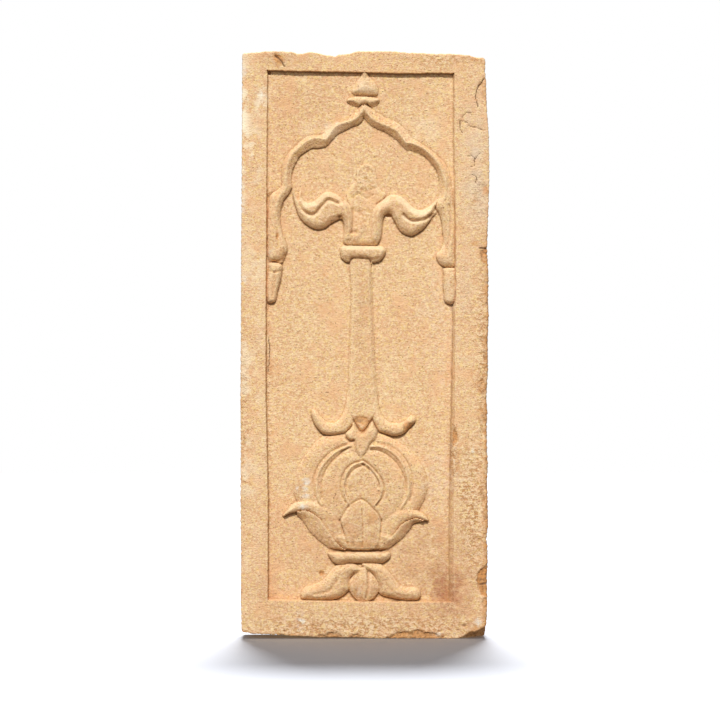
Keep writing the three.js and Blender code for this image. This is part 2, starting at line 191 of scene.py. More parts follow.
# %% Lines of the arch
ARCH_LINES = {
    "left rise, foot": [(-2, 358.5), (-7.5, 349.5), (-20.5, 344), (-31, 338.5), (-42, 333), (-50, 325.5),
        (-56.5, 317.5), (-61, 313)],
    "left rise, crest": [(-2, 375.5), (-7.5, 363), (-18.5, 354), (-34.5, 349), (-45.5, 344), (-51.5, 338),
        (-56.5, 330), (-61, 323)],
    "left rise, back": [(-4, 381), (-15.5, 367.5), (-26.5, 357), (-36, 352.5), (-47, 348.5), (-55, 343),
        (-61, 336.5), (-67.5, 331.5)],
    "left lobe, foot": [(-61, 313), (-70.5, 311), (-83, 310), (-92.5, 305), (-103.5, 297), (-108, 289),
        (-113, 279), (-115, 270.5), (-116, 259.5), (-115, 247.5)],
    "left lobe, crest": [(-61, 323), (-67.5, 324), (-74.5, 326), (-86, 323.5), (-95.5, 317.5),
        (-106.5, 308), (-114.5, 299.5), (-120, 289), (-123, 276.5), (-124.5, 262.5), (-124, 250)],
    "left lobe, back": [(-67.5, 331.5), (-81.5, 331), (-92.5, 328), (-100.5, 322.5), (-108, 315.5),
        (-117.5, 306.5), (-125.5, 295.5), (-130, 281.5), (-131.5, 265.5), (-131, 250)],
    "right rise, foot": [(-2, 358.5), (1.5, 355.5), (8, 348), (17.5, 342), (28.5, 337.5), (39.5, 331.5),
        (50.5, 323.5), (58, 315.5), (65.5, 308)],
    "right rise, crest": [(-2, 375.5), (3.5, 365.5), (11, 356.5), (20.5, 350.5), (30, 346.5), (42.5, 341),
        (50.5, 336), (58, 327), (64.5, 317.5)],
    "right rise, back": [(-0.5, 381), (11, 372.5), (23.5, 363.5), (36.5, 356.5), (47.5, 352.5), (58, 345),
        (67.5, 334.5), (75.5, 325)],
    "right lobe, foot": [(65.5, 308), (75.5, 306.5), (86.5, 302), (97.5, 294.5), (105.5, 286), (113, 275),
        (117, 261), (118, 247), (115.5, 232.5), (112.5, 221.5)],
    "right lobe, crest": [(64.5, 317.5), (71, 318), (80, 315), (89.5, 311), (99, 303.5), (108.5, 294),
        (116.5, 283), (122.5, 269), (127.5, 254.5), (128, 242), (124, 229.5), (118, 221)],
    "right lobe, back": [(75.5, 325), (88, 318.5), (102, 309.5), (115, 298.5), (126, 286), (132, 275),
        (135, 259.5), (136, 242)],
}

# %% Plates: hanging leaves and tassels
HANGINGS = {
    "left leaf": (9.3, 12, [(-127, 257), (-115, 253), (-118.5, 240), (-127, 228.5), (-131.5, 217),
        (-133.5, 201.5), (-131.5, 184), (-125.5, 166.5), (-122, 154), (-123.5, 145), (-127, 135.5),
        (-131.5, 128.5), (-141, 131.5), (-151.5, 134), (-153, 165), (-153, 193.5), (-150.5, 228),
        (-146, 239), (-136.5, 245.5)]),
    "left tassel": (8.8, 7.1, [(-150, 130), (-131, 127.5), (-131, 112), (-134, 96), (-137.5, 83.5),
        (-139.5, 72.5), (-142, 68), (-152, 66.5), (-154.5, 77), (-155, 94.5), (-153, 110), (-151.5, 121)]),
    "right leaf": (9.1, 12, [(114, 227), (112, 216.5), (117, 207), (120.5, 195), (122.5, 177.5),
        (123, 160.5), (118, 149.5), (112, 142.5), (114.5, 133), (119.5, 126), (127.5, 122.5),
        (141.5, 124.5), (143, 149.5), (143.5, 181), (142, 209), (140, 228), (136, 250), (128, 250),
        (122, 237)]),
    "right tassel": (8.8, 7.1, [(124, 121), (142.5, 121), (144, 102.5), (144, 83.5), (142, 69.5), (135, 64),
        (126, 68.5), (124, 83.5), (123, 99), (123.5, 112)]),
}

# %% Plates: bud over the arch
FINIAL = {
    "bud": (10.2, (14, 0.35), [(-3, 436), (-4, 428), (-8.5, 420.5), (-15.5, 412.5), (-20.5, 404), (-21, 397),
        (-14, 393), (0, 392), (13, 391.5), (20.5, 394), (21.5, 402), (18.5, 410.5), (11.5, 418.5),
        (5.5, 425), (4, 436)]),
    "cushion": (9.4, (6, 0.6), [(-28.5, 386), (-22, 390), (-11, 391), (5, 390.5), (20.5, 388.5), (23, 383.5),
        (19, 377), (11, 374), (4, 379), (-6, 377.5), (-12.5, 374.5), (-22, 377.5), (-27, 382)]),
}

# %% Plates: capital
CAPITAL = {
    "palmette": (2.4, (4, 0.5), [(-28, 232.5), (-27.5, 243.5), (-20.5, 252.5), (-13, 262.5), (-12.5, 275),
        (-4.5, 283.5), (5, 286), (13.5, 280), (18, 267), (20, 253), (26, 243.5), (33, 238), (27, 228.5),
        (17.5, 221), (12.5, 204.5), (9.5, 188.5), (-20.5, 188.5), (-21, 209), (-25, 221.5)]),
    "panel": (((-5, 166, 5.6), (-5, 226, 1.4)), (4, 0.8), [(-29.5, 159), (-25, 171.5), (-22.5, 188.5),
        (-22, 209), (-26.5, 221.5), (-20.5, 229.5), (-4.5, 232.5), (11, 229.5), (19, 221.5), (14.5, 212.5),
        (11, 201.5), (10.5, 187), (12.5, 168.5), (20.5, 158), (-7.5, 157)]),
    "left leaf": (9.6, (11.5, 0.3), [(-114, 244.5), (-112, 229.5), (-108, 215.5), (-103.5, 203),
        (-95.5, 192.5), (-84.5, 185), (-73, 182), (-62, 185), (-54, 191), (-44, 196.5), (-37.5, 198.5),
        (-33.5, 193.5), (-32.5, 179.5), (-33.5, 168.5), (-32.5, 160.5), (-26.5, 157.5), (-21, 159.5),
        (-19, 174.5),
        (-18.5, 193.5), (-20, 209), (-23.5, 221), (-31, 228.5), (-39, 234), (-48.5, 239.5), (-59.5, 242),
        (-68, 237.5), (-77, 229), (-86, 224.5), (-94, 226), (-99, 232.5), (-101.5, 244.5), (-104, 233.5),
        (-107.5, 232.5)]),
    "right leaf": (9.6, (11.5, 0.3), [(17.5, 157.5), (9.5, 159.5), (7.5, 177.5), (8, 193.5), (9.5, 204.5),
        (12.5, 214), (17.5, 220.5), (25.5, 226.5), (33, 232), (41, 237), (50.5, 236.5), (60, 232),
        (67.5, 225), (75.5, 217), (85, 212.5), (94.5, 214.5), (102, 219.5), (108.5, 225), (114.5, 230),
        (113, 221.5), (110, 214.5), (113, 210.5), (110, 205), (106, 201.5), (100.5, 193.5), (94.5, 185),
        (85, 177.5), (74, 172), (63, 174.5), (56.5, 178.5), (52, 185.5), (47.5, 194), (44, 200), (41, 205),
        (36.5, 207), (31.5, 204), (29, 199.5), (28, 193.5), (27, 182.5), (25.5, 171.5), (23, 163.5)]),
    "collar": (10, (8.5, 0.3), [(-39, 151), (-36.5, 155.5), (-31, 157), (-7.5, 156.5), (17.5, 156.5),
        (29, 155), (33, 149.5), (31, 141.5), (27.5, 136), (22, 131.5), (11, 130), (7.5, 134), (-4.5, 135.5),
        (-20, 135.5), (-23, 131), (-29.5, 131), (-36.5, 136), (-38.5, 143)]),
}

# %% Plates: column and its foot
COLUMN = {
    "shaft": (4.9, 5.7, [(-21.5, 140), (-22, 86.5), (-23.5, 31.5), (-25, 0.5), (-26, -47), (-27.5, -73.5),
        (-30.5, -92.5), (-28, -106.5), (-18, -118), (-11, -129), (-4.5, -136), (2.5, -129), (9.5, -118),
        (20.5, -106.5), (21.5, -92.5), (19.5, -76.5), (17.5, -51.5), (15, -7.5), (13.5, 31.5), (11.5, 86.5),
        (10, 140)]),
    "left scroll": (((-31, -92.5, 4.6), (-55, -136.5, 9.6)), (7.5, 0.28), [(-84.5, -102.5), (-83.5, -112.5),
        (-80, -122.5), (-73.5, -132.5), (-66, -139), (-55, -141.5), (-42, -140.5), (-30.5, -137.5),
        (-25, -132.5), (-20.5, -127), (-17, -120), (-19.5, -106.5), (-24, -92.5), (-27.5, -80),
        (-30.5, -92.5), (-34, -105), (-40, -116), (-47, -120.5), (-55, -122), (-62.5, -118), (-69.5, -111),
        (-75, -103.5), (-81.5, -100)]),
    "right scroll": (((19, -92.5, 4.6), (44, -136.5, 9.6)), (7.5, 0.28), [(16, -80), (13.5, -92.5),
        (12, -106.5), (12.5, -116), (16.5, -125.5), (21, -134.5), (27, -137.5), (36.5, -140.5),
        (45.5, -143), (55, -141.5), (63, -137.5), (69, -132), (75, -125.5), (80, -118),
        (77.5, -112.5), (71.5, -109.5),
        (65.5, -116.5), (56.5, -121), (47.5, -122), (38, -120), (30, -113.5), (24, -103.5), (21, -92.5)]),
    "fleur": (9.9, (7, 0.4), [(-17.5, -120.5), (-20.5, -127), (-25, -133), (-30.5, -138), (-29.5, -144),
        (-26, -149.5), (-20.5, -151.5), (-17.5, -154.5), (-17, -160.5), (-15, -168), (-10, -176),
        (-6, -181), (-1.5, -176), (4, -167), (8, -159.5), (10, -155), (17, -148.5), (19.5, -141),
        (20, -134.5), (16.5, -128.5), (12.5, -120.5), (8.5, -122.5), (2.5, -133), (-4.5, -138),
        (-11, -132)]),
}

# %% Plates: vase
VASE = {
    "body": (6.4, (15, 0.14), [(-31, -136.5), (-51.5, -140), (-70.5, -145.5), (-83, -158.5), (-95.5, -174),
        (-106, -191), (-111.5, -208.5), (-112.5, -226), (-109.5, -240), (-102, -254), (-73.5, -293.5),
        (-39, -320), (30, -320), (61.5, -290), (86.5, -255.5), (92.5, -244.5), (96.5, -233.5),
        (98.5, -219.5), (96, -204.5), (91, -190.5), (83.5, -178), (72.5, -166), (60, -156.5), (49, -149.5),
        (36.5, -143.5), (20.5, -138), (-4.5, -134.5)]),
    "inner lobes": (8.0, (10, 0.72), [(-6, -169), (-25, -166.5), (-37.5, -171.5), (-51, -183.5),
        (-61, -196.5), (-66.5, -210), (-68, -222.5), (-66.5, -237), (-59.5, -252.5), (-39, -276),
        (30, -276), (53.5, -254), (62, -237), (63.5, -222.5), (61.5, -211), (55, -197.5),
        (45.5, -185), (34, -174), (19, -167),
        (6.5, -166)]),
    "drop": (7.9, (9, 0.8), [(-3, -190.5), (-12.5, -195), (-21, -202.5), (-25.5, -212.5), (-27, -222.5),
        (-25, -235), (-20.5, -246), (-14, -257), (8, -257), (15, -244.5), (20.5, -232), (21, -221),
        (18, -211.5), (12, -202), (4.5, -194.5)]),
}

# %% Plates: lotus cup
LOTUS = {
    "cup": (9.3, (11, 0.45), [(-50, -300), (-42, -312), (-31, -321), (-5, -322.5), (22, -321), (33, -314),
        (44, -301), (30, -293), (-5, -290), (-36, -293)]),
    "left petal": (((-100, -250, 9.9), (-33, -305, 6.2)), (8, 0.6), [(-129.5, -269.5), (-124, -260.5),
        (-116, -251.5), (-108, -246.5), (-97, -244.5), (-86, -244.5), (-75, -247), (-64, -252),
        (-53, -258), (-44, -266.5), (-36.5, -280.5),
        (-30.5, -298), (-25, -315.5), (-29.5, -321), (-37.5, -317.5), (-45.5, -309.5), (-53, -298.5),
        (-61, -287.5), (-69, -275.5), (-77, -268.5), (-86, -262.5), (-95.5, -260.5), (-106.5, -262),
        (-117.5, -264.5)]),
    "right petal": (((85, -262, 9.9), (27, -305, 6.2)), (8, 0.6), [(100.5, -275.5), (96.5, -269),
        (89.5, -263), (80, -259), (67.5, -257.5), (55, -258.5), (44, -262), (36.5, -266.5),
        (30, -273.5), (25.5, -282.5), (23.5, -296.5),
        (21.5, -309), (20.5, -320), (30, -308.5), (41, -302), (49, -293), (58, -282), (69, -275.5),
        (80, -272.5), (93, -275.5)]),
    "middle petal": (10.2, (17, 0.8), [(-6, -242), (-17, -246.5), (-26.5, -254.5), (-33.5, -265),
        (-39, -274.5), (-35, -287), (-30.5, -302.5), (-25.5, -316), (-20.5, -322), (-6, -322.5),
        (9.5, -322), (19, -316),
        (22.5, -302.5), (25, -287), (25.5, -275), (20, -264), (11.5, -255.5), (3.5, -247)]),
}

# %% Plates: ring and foot
FOOT = {
    "left leaf": (9.5, (11, 0.25), [(-20.5, -342), (-39, -344.5), (-48.5, -348.5), (-55, -355.5),
        (-60.5, -363), (-67.5, -369.5), (-77, -374), (-88, -377.5), (-95.5, -381), (-100, -387.5),
        (-101, -394),
        (-98, -399.5), (-86, -401.5), (-70.5, -402), (-55, -401), (-44, -398.5), (-34.5, -394),
        (-28, -388.5), (-23.5, -383), (-23.5, -368.5), (-17, -361), (-4.5, -353)]),
    "right leaf": (9.5, (11, 0.25), [(-4.5, -342), (20.5, -343), (30, -348), (38, -355.5), (45.5, -365),
        (53.5, -374.5), (63, -380), (75.5, -379.5), (83.5, -382), (88, -387.5), (87.5, -395.5), (82, -401),
        (71, -402), (55, -400), (39.5, -397), (28.5, -394), (21.5, -389), (19, -372), (11, -359),
        (1.5, -353)]),
    "bud": (10, (20, 0.35), [(0, -346.5), (-11, -354.5), (-18.5, -362.5), (-25, -370.5), (-27.5, -379.5),
        (-23.5, -388), (-17, -396.5), (-9.5, -403), (-2, -405), (5, -403), (12.5, -399.5), (19, -392.5),
        (23.5, -383), (22.5, -374), (17.5, -365.5), (9.5, -357.5), (4, -351.5)]),
    "ring": (9.8, (10, 0.3), [(-58, -326), (-52.5, -323.5), (-31, -323), (-4.5, -322.5), (23.5, -323),
        (37.5, -324.5), (40.5, -329.5), (39, -335), (34, -339), (29, -342), (16, -342.5), (-4.5, -343),
        (-23.5, -343), (-34.5, -345), (-42, -345), (-49.5, -342), (-53, -337.5), (-56.5, -332.5)]),
}

# %% Ribs of the vase, and the ridge of the bud
RIBS = {
    "tip of the bud": (4.5, 10.2, [(-0.5, 437), (-0.5, 426), (-0.5, 415)]),
    "left rib": (5.2, 8.9, [(-22, -158), (-34.5, -162), (-47, -169), (-58, -178.5),
        (-67.5, -190), (-73, -201.5), (-75.5, -213), (-75.5, -227.5), (-73, -240), (-67.5, -251)]),
    "right rib": (5.4, 8.9, [(9.5, -159), (22, -159), (36.5, -164), (49, -173), (59, -185.5),
        (66, -200.5), (69, -216.5), (68.5, -230.5), (64.5, -243), (56.5, -255.5)]),
    "left inner rib": (4.7, 9.8, [(-3, -183), (-16.5, -188), (-25.5, -196), (-31, -207),
        (-33, -219.5), (-31.5, -232), (-28, -243), (-22, -252.5)]),
    "right inner rib": (4.7, 9.8, [(-6, -182.5), (3.5, -188), (12.5, -197), (20.5, -207.5),
        (25.5, -219.5), (25.5, -230.5), (22, -241.5), (14.5, -252.5)]),
}

# %% Grooves
GROOVES = [
    (0.9, 1.6, [(-19.5, 130), (-20.5, 87), (-22, 32), (-23.5, -23), (-25, -56), (-26, -80)]),
    (0.9, 2, ARCH_LINES["left lobe, back"]),
    (0.6, 1.9, ARCH_LINES["right rise, back"]),
    (0.7, 2, ARCH_LINES["right lobe, back"]),
    (0.6, 1.6, [(52, 351), (64.5, 341), (75.5, 328.5)]),
    (0.5, 1.6, [(105.5, 305), (118, 292.5), (129, 276.5)]),
    (1.8, 2.8, [(-152, 136), (-142.5, 132), (-131.5, 134), (-126, 141.5)]),
    (1.2, 3.0, [(-136, 240), (-141.5, 225), (-143, 203), (-139, 181), (-132, 160)]),
    (1, 2.5, [(-149, 198), (-146, 187), (-140.5, 179.5), (-137, 170), (-136.5, 152.5)]),
    (1.4, 2.2, [(-150.5, 117.5), (-142.5, 115), (-131.5, 117.5)]),
    (1.2, 2.2, [(124, 117.5), (133.5, 115), (143, 117.5)]),
    (2, 3.1, [(133, 220), (135, 203), (134.5, 184), (133, 168.5), (129, 155.5), (127.5, 143)]),
    (1.2, 2.4, [(-142.5, 113.5), (-142.5, 94.5), (-146.5, 74)]),
    (3.6, 3.6, [(-105, 231), (-102, 221), (-97, 212.5), (-91, 207.5), (-83, 205.5), (-77, 208),
        (-70.5, 216), (-64, 223.5), (-58, 228.5), (-50, 227), (-42, 223.5)]),
    (3.2, 3.3, [(61.5, 205), (67.5, 199), (75.5, 195.5), (85, 196), (94.5, 198), (102, 203),
        (109.5, 210.5)]),
    (0.9, 2.2, [(-15.5, 259.5), (-12.5, 253), (-6, 245), (3.5, 243), (16, 248.5)]),
    (0.4, 3, [(-4, 266), (0, 258), (7, 256)]),
    (0.8, 2.4, [(-9.5, 265.5), (-5.5, 274.5), (3.5, 278), (11, 272.5), (14.5, 261)]),
    (1.2, 2.2, [(-18.5, 232.5), (-11, 239), (-4.5, 236.5), (3.5, 231), (12.5, 236.5)]),
    (-1.5, 4.6, [(-19, 171), (-12, 171), (-6, 178), (-4, 189)]),
    (-1.1, 3.8, [(8, 169), (7.5, 178), (5.5, 190)]),
    (1.4, 2.5, [(-18.5, 215.5), (-18, 196.5), (-20.5, 177.5)]),
    (1.0, 2.4, [(-30.5, 163), (-26.5, 166), (-23.5, 165)]),
    (1.2, 2, [(-18, -118), (-12.5, -127), (-4.5, -136.5), (3.5, -130), (9.5, -119)]),
    (3, 2.5, [(-29.5, -146.5), (-23.5, -151), (-17, -149.5)]),
    (1.7, 2.2, [(-23.5, -160), (-36, -168), (-50, -180), (-60.5, -193.5), (-66.5, -207), (-69, -222.5),
        (-67.5, -238.5)]),
    (1.7, 2.2, [(9.5, -164), (20.5, -165), (34.5, -171), (47.5, -182), (57, -195.5), (63, -210),
        (64.5, -224)]),
    (1.5, 2, [(-28, -155), (-42, -160.5), (-55, -168), (-65.5, -178), (-74, -189.5), (-79.5, -204),
        (-81, -219.5), (-79, -237)]),
    (1.5, 2, [(20.5, -153), (39.5, -157.5), (53.5, -167), (65, -180), (72.5, -196.5), (75.5, -215),
        (74.5, -230.5), (70, -244.5)]),
    (1.7, 2.4, [(-1.5, -188), (-12.5, -192), (-21.5, -199), (-27.5, -209.5), (-29, -221)]),
    (1.7, 2.4, [(-3, -187.5), (6.5, -194), (15, -202.5), (21, -213), (22, -222.5)]),
    (1.7, 2, [(-6, -182), (-18.5, -185), (-29, -193.5), (-36, -205.5), (-38.5, -219.5), (-36.5, -233.5),
        (-31, -246)]),
    (1.8, 2, [(-3, -180), (9.5, -189), (20, -200), (27.5, -211.5), (30.5, -226), (27, -240), (18, -251.5)]),
    (1.5, 2.0, [(-39.5, -275), (-34, -264.5), (-27, -254), (-17.5, -246), (-6, -241.5), (4, -246),
        (12, -255), (20.5, -263.5), (26, -275)]),
    (1.7, 1.9, [(-5, -258), (-3, -293.5), (-4.5, -317)]),
    (1.5, 2.0, [(-40, -275), (-35.5, -288), (-31, -301), (-26, -315)]),
    (1.5, 2.0, [(26, -276), (25.5, -289), (23.5, -304), (20, -317)]),
    (5, 3.2, [(-55, -322.5), (-31, -323.5), (-4.5, -323.5), (33, -323)]),
    (-0.8, 2, [(-37.5, -359), (-29.5, -353), (-20.5, -348.5), (-4.5, -346)]),
    (1.1, 2.2, [(-55, -361), (-48.5, -353.5), (-39, -349)]),
    (1.3, 2.5, [(-80, -391), (-67.5, -389.5), (-58, -386), (-50, -379), (-44, -368.5)]),
    (-0.7, 1.6, [(0, -346.5), (1.5, -361), (0.5, -376.5), (-1.5, -397)]),
    (1.8, 2.8, [(4, -357.5), (6, -375), (2, -395.5)]),
    (0.9, 2.2, [(8, -348), (20.5, -354.5), (33, -364.5), (42.5, -375.5), (52, -384.5)]),
    (0.8, 2.2, [(30, -368.5), (38, -381), (52, -391.5), (71, -394)]),
]

# %% Undersides of the lotus petals
PETAL_UNDERSIDES = {
    "left petal": (1.6, 8.8, 0.5, [(-106.5, -268), (-97, -275.5), (-91, -285), (-84.5, -294.5), (-75, -304),
        (-64, -312.5), (-53, -320.5), (-43, -323), (-33, -323)],
        [(-106.5, -262), (-95.5, -260.5), (-86, -262.5), (-77, -268.5), (-69, -275.5), (-61, -287.5),
         (-53, -298.5), (-45.5, -309.5), (-37.5, -317.5), (-29, -321)]),
    "right petal": (1.6, 8.8, 0.5, [(86.5, -277.5), (77, -280.5), (69, -291), (60, -302), (50.5, -310),
        (39.5, -318), (30, -322.5), (22, -322.5)],
        [(93, -275.5), (80, -272.5), (69, -275.5), (58, -282), (49, -293), (41, -302), (30, -308.5),
         (22, -320)]),
}

# %% Undersides that are cut back
UNDERSIDES = {
    "right side of the shaft": (0.2, 5.2,
        [(10.6, 134), (12, 87), (13.4, 32), (15.6, -8), (18, -52), (21, -82)],
        [(5, 134), (6.5, 87), (7.8, 32), (9.5, -8), (12, -52), (15, -82)]),
    "left end of the cushion": (1.6, 9.2,
        [(-29, 381.5), (-22, 376.5), (-12, 374)],
        [(-29, 386), (-19, 384), (-8.5, 380)]),
    "right end of the cushion": (1.6, 9.2,
        [(10, 373), (19, 376), (24.5, 383.5)],
        [(4, 380.5), (14, 383), (24.5, 386.5)]),
    "capital": (3.0, 7.5,
        [(-33, 158), (-22, 157), (-4, 157), (20, 157)],
        [(-33, 163.5), (-23, 168), (-4, 168), (14, 165.5), (25, 167)]),
    "collar": (4.2, 9.6,
        [(-38, 137), (-34.5, 132), (-23, 130), (-19.5, 135), (-4.5, 135.5), (8, 134.5), (12.5, 130),
         (24, 131.5), (30, 138.5)],
        [(-38, 145.5), (-31, 141.5), (-23, 140), (-14, 138.5), (2, 138.5), (12.5, 139), (24, 141),
         (31.5, 145.5)]),
    "ring": (3.6, 9.8,
        [(-56, -338), (-42, -346), (-23, -344), (-4, -343.5), (20, -343.5), (34, -341), (41, -336)],
        [(-58, -334), (-42, -335.5), (-23, -335.5), (-4, -335.5), (20, -335), (34, -334.5), (42, -333)]),
}
PLATES = [HANGINGS, FINIAL, CAPITAL, COLUMN, VASE]
LATE_PLATES = [LOTUS, FOOT]
print("plates:", sum(len(group) for group in PLATES + LATE_PLATES), "grooves:", len(GROOVES))

# %% [markdown]
# Reading a drawn line. Its places are joined by a smooth curve. For each point of the stone near it, the
# nearest place on the curve says how far to the side the point is, and an outline says whether the point is
# inside it.

# %% How a line is read
CURVE_STEPS = 4


def smooth_line(places, closed=False):
    """A Catmull-Rom curve through places, open or closed."""
    rows = np.array(places, dtype=float)
    if closed:
        rows = np.vstack([rows[-1:], rows, rows[:2]])
    else:
        rows = np.vstack([2 * rows[0] - rows[1], rows, 2 * rows[-1] - rows[-2]])
    t = np.linspace(0, 1, CURVE_STEPS, endpoint=False)[:, None]
    pieces = []
    for a, b, c, d in zip(rows, rows[1:], rows[2:], rows[3:]):
        pieces.append(0.5 * (2 * b + (c - a) * t + (2 * a - 5 * b + 4 * c - d) * t**2
                             + (3 * b - a - 3 * c + d) * t**3))
    return np.vstack(pieces + [rows[-2:-1]])


def side_of(line, px, pz):
    """The distance of points from a line: positive to the right of its way, negative to the left."""
    best = np.full(px.shape, np.inf)
    side = np.zeros(px.shape)
    for a, w in zip(line[:-1], np.diff(line, axis=0)):
        dx, dz = px - a[0], pz - a[1]
        t = np.clip((dx * w[0] + dz * w[1]) / max(w @ w, 1e-9), 0, 1)
        ox, oz = dx - t * w[0], dz - t * w[1]
        far = np.hypot(ox, oz)
        closer = far < best
        best[closer] = far[closer]
        side[closer] = np.where(ox * w[1] - oz * w[0] < 0, -far, far)[closer]
    return side


def inside(outline, px, pz):
    """Whether points lie inside a closed outline."""
    hit = np.zeros(px.shape, dtype=bool)
    for (ax, az), (bx, bz) in zip(outline, np.roll(outline, -1, axis=0)):
        crosses = (az > pz) != (bz > pz)
        edge_x = ax + (pz - az) * (bx - ax) / (bz - az if bz != az else 1e-9)
        hit ^= crosses & (px < edge_x)
    return hit


def close_to(line, px, pz, reach):
    """The numbers of the points within a line's own box and some reach round it."""
    near = ((px > line[:, 0].min() - reach) & (px < line[:, 0].max() + reach)
            & (pz > line[:, 1].min() - reach) & (pz < line[:, 1].max() + reach))
    return np.flatnonzero(near)


def melt(a, b, reach):
    """The higher of two heights, with a soft valley between them."""
    mix = np.clip(0.5 + 0.5 * (a - b) / reach, 0, 1)
    return b + (a - b) * mix + reach * mix * (1 - mix)


def soft_step(value, reach):
    t = np.clip(value / reach * 0.5 + 0.5, 0, 1)
    return t * t * (3 - 2 * t)


# %% [markdown]
# The blank of the face. A grid primitive is the start, with one vertex for about every 1.4 mm of the field.
# Its columns and rows are then laid so that some of them run exactly along the slab's arrises and along the
# head and the foot of the field's walls. That keeps those lines crisp, where an even grid would show them as
# steps.

# %% Lay out the grid of the face
ARRIS_STEP, BORDER_STEP, WALL_STEP, FIELD_STEP = 0.9, 1.7, 0.7, 1.4


def spread(stops, steps):
    """Steps per stretch between stops, each at least 2."""
    return [max(2, round(abs(b - a) / step)) for (a, b), step in zip(zip(stops, stops[1:]), steps)]


def stops_over(half, low_side, high_side):
    """From one edge of the slab to the other: edge, arris, head and foot of a wall, and back out again."""
    low_foot, high_foot = WALLS_AT[low_side], WALLS_AT[high_side]
    return [-half, -half + ARRIS, low_foot - WALL_LEAN[low_side], low_foot,
            high_foot, high_foot + WALL_LEAN[high_side], half - ARRIS, half]


column_stops = stops_over(HALF_WIDTH, "left", "right")
row_stops = stops_over(HALF_HEIGHT, "bottom", "top")
steps = [ARRIS_STEP, BORDER_STEP, WALL_STEP, FIELD_STEP, WALL_STEP, BORDER_STEP, ARRIS_STEP]
columns = spread(column_stops, steps)
rows = spread(row_stops, steps)
bpy.ops.object.select_all(action="DESELECT")
bpy.ops.mesh.primitive_grid_add(x_subdivisions=sum(columns), y_subdivisions=sum(rows), size=2)
stone = bpy.context.object
stone.name = "carved_stone"
print("grid", sum(columns), "x", sum(rows))


# %% Move the grid's lines to the edges and walls
def places(mesh):
    """A mesh's vertices in millimetres, as an array."""
    flat = np.empty(len(mesh.vertices) * 3)
    mesh.vertices.foreach_get("co", flat)
    return flat.reshape(-1, 3) / MM


def put(mesh, points):
    mesh.vertices.foreach_set("co", (points * MM).ravel())
    mesh.update()


def between(stops, counts, index):
    """The place of a grid line, from the places of the stops on each side of it."""
    firsts = np.concatenate([[0], np.cumsum(counts)])
    stretch = np.clip(np.searchsorted(firsts, index, side="right") - 1, 0, len(counts) - 1)
    share = (index - firsts[stretch]) / np.array(counts)[stretch]
    stops = np.array(stops)
    pick = np.arange(len(index))
    return stops[stretch, pick] * (1 - share) + stops[stretch + 1, pick] * share


unit = places(stone.data) * MM
column = np.rint((unit[:, 0] + 1) / 2 * sum(columns)).astype(int)
row = np.rint((unit[:, 1] + 1) / 2 * sum(rows)).astype(int)
plain = np.ones(len(unit))
x0 = between([plain * stop for stop in column_stops], columns, column)
z0 = between([plain * stop for stop in row_stops], rows, row)

left_side = -HALF_WIDTH + edge_inset(LEFT_EDGE, z0, 1, MOVED_OUT["left"])
right_side = HALF_WIDTH - edge_inset(RIGHT_EDGE, z0, 2, along(RIGHT_MOVED_OUT, z0))
foot_side = -HALF_HEIGHT + edge_inset(BOTTOM_EDGE, x0, 3, MOVED_OUT["bottom"])
head_side = HALF_HEIGHT - edge_inset(TOP_EDGE, x0, 4, MOVED_OUT["top"])
field_left = along(FIELD_LEFT, z0) + 0.45 * wave(z0, 5, 4.0) + 0.5 * wave(z0, 6, 11.0)
field_right = along(FIELD_RIGHT, z0) + 0.35 * wave(z0, 7, 5.0) + 0.6 * wave(z0, 8, 14.0)
field_bottom = along(FIELD_BOTTOM, x0) + 0.4 * wave(x0, 9, 6.0)
field_top = along(FIELD_TOP, x0) + 0.5 * wave(x0, 10, 3.1) + 0.6 * wave(x0, 11, 17.0)
right_lean = along(RIGHT_WALL_LEAN, z0)
x = between([left_side, left_side + ARRIS, field_left - WALL_LEAN["left"], field_left, field_right,
             field_right + right_lean, right_side - ARRIS, right_side], columns, column)
z = between([foot_side, foot_side + ARRIS, field_bottom - WALL_LEAN["bottom"], field_bottom, field_top,
             field_top + WALL_LEAN["top"], head_side - ARRIS, head_side], rows, row)
from_left, from_right = x - left_side, right_side - x
from_bottom, from_top = z - foot_side, head_side - z
from_edge = np.minimum(np.minimum(from_left, from_right), np.minimum(from_bottom, from_top))

# %% Round the slab's four corners
for side_x, gap_x in ((-1, from_left), (1, from_right)):
    for side_z, gap_z in ((-1, from_bottom), (1, from_top)):
        near = (gap_x < CORNER_ROUND) & (gap_z < CORNER_ROUND)
        out_x, out_z = CORNER_ROUND - gap_x[near], CORNER_ROUND - gap_z[near]
        shrink = np.maximum(out_x, out_z) / np.maximum(np.hypot(out_x, out_z), 1e-6)
        x[near] -= side_x * out_x * (1 - shrink)
        z[near] -= side_z * out_z * (1 - shrink)
print("face spans", round(x.min(), 1), round(x.max(), 1), round(z.min(), 1), round(z.max(), 1))

# %% [markdown]
# Now the carving. The height above the field is worked out for every vertex inside it: the raised ground
# above the arch first, then the arch, the plates, the petals' undersides and the ribs, each melted into what
# stands already, then the undersides that are cut back, and the grooves. A little of each vertex's neighbours
# is mixed in at the end, because no edge of a worn stone is as sharp as a drawn one.

# %% Carve the design
MELT = 0.5
CUT_EDGE = 1.3
ARCH_FEET = {"left rise": 2.2, "left lobe": 2.8, "right rise": 1.8, "right lobe": 0.9}
ARCH_CREST = 9.4
BEHIND_ARCH = 0.3
GROUND_EDGE = 4.0
GROOVE_REACH = 1.5
DEEPEST_GROOVE = 0.9
SOFTENING = 0.15
columns_before = np.cumsum([0] + columns)
rows_before = np.cumsum([0] + rows)
in_field = ((column >= columns_before[3]) & (column <= columns_before[4])
            & (row >= rows_before[3]) & (row <= rows_before[4]))
on_wall = ((column > columns_before[2]) & (column < columns_before[5])
           & (row > rows_before[2]) & (row < rows_before[5]))
height = np.zeros(len(x))


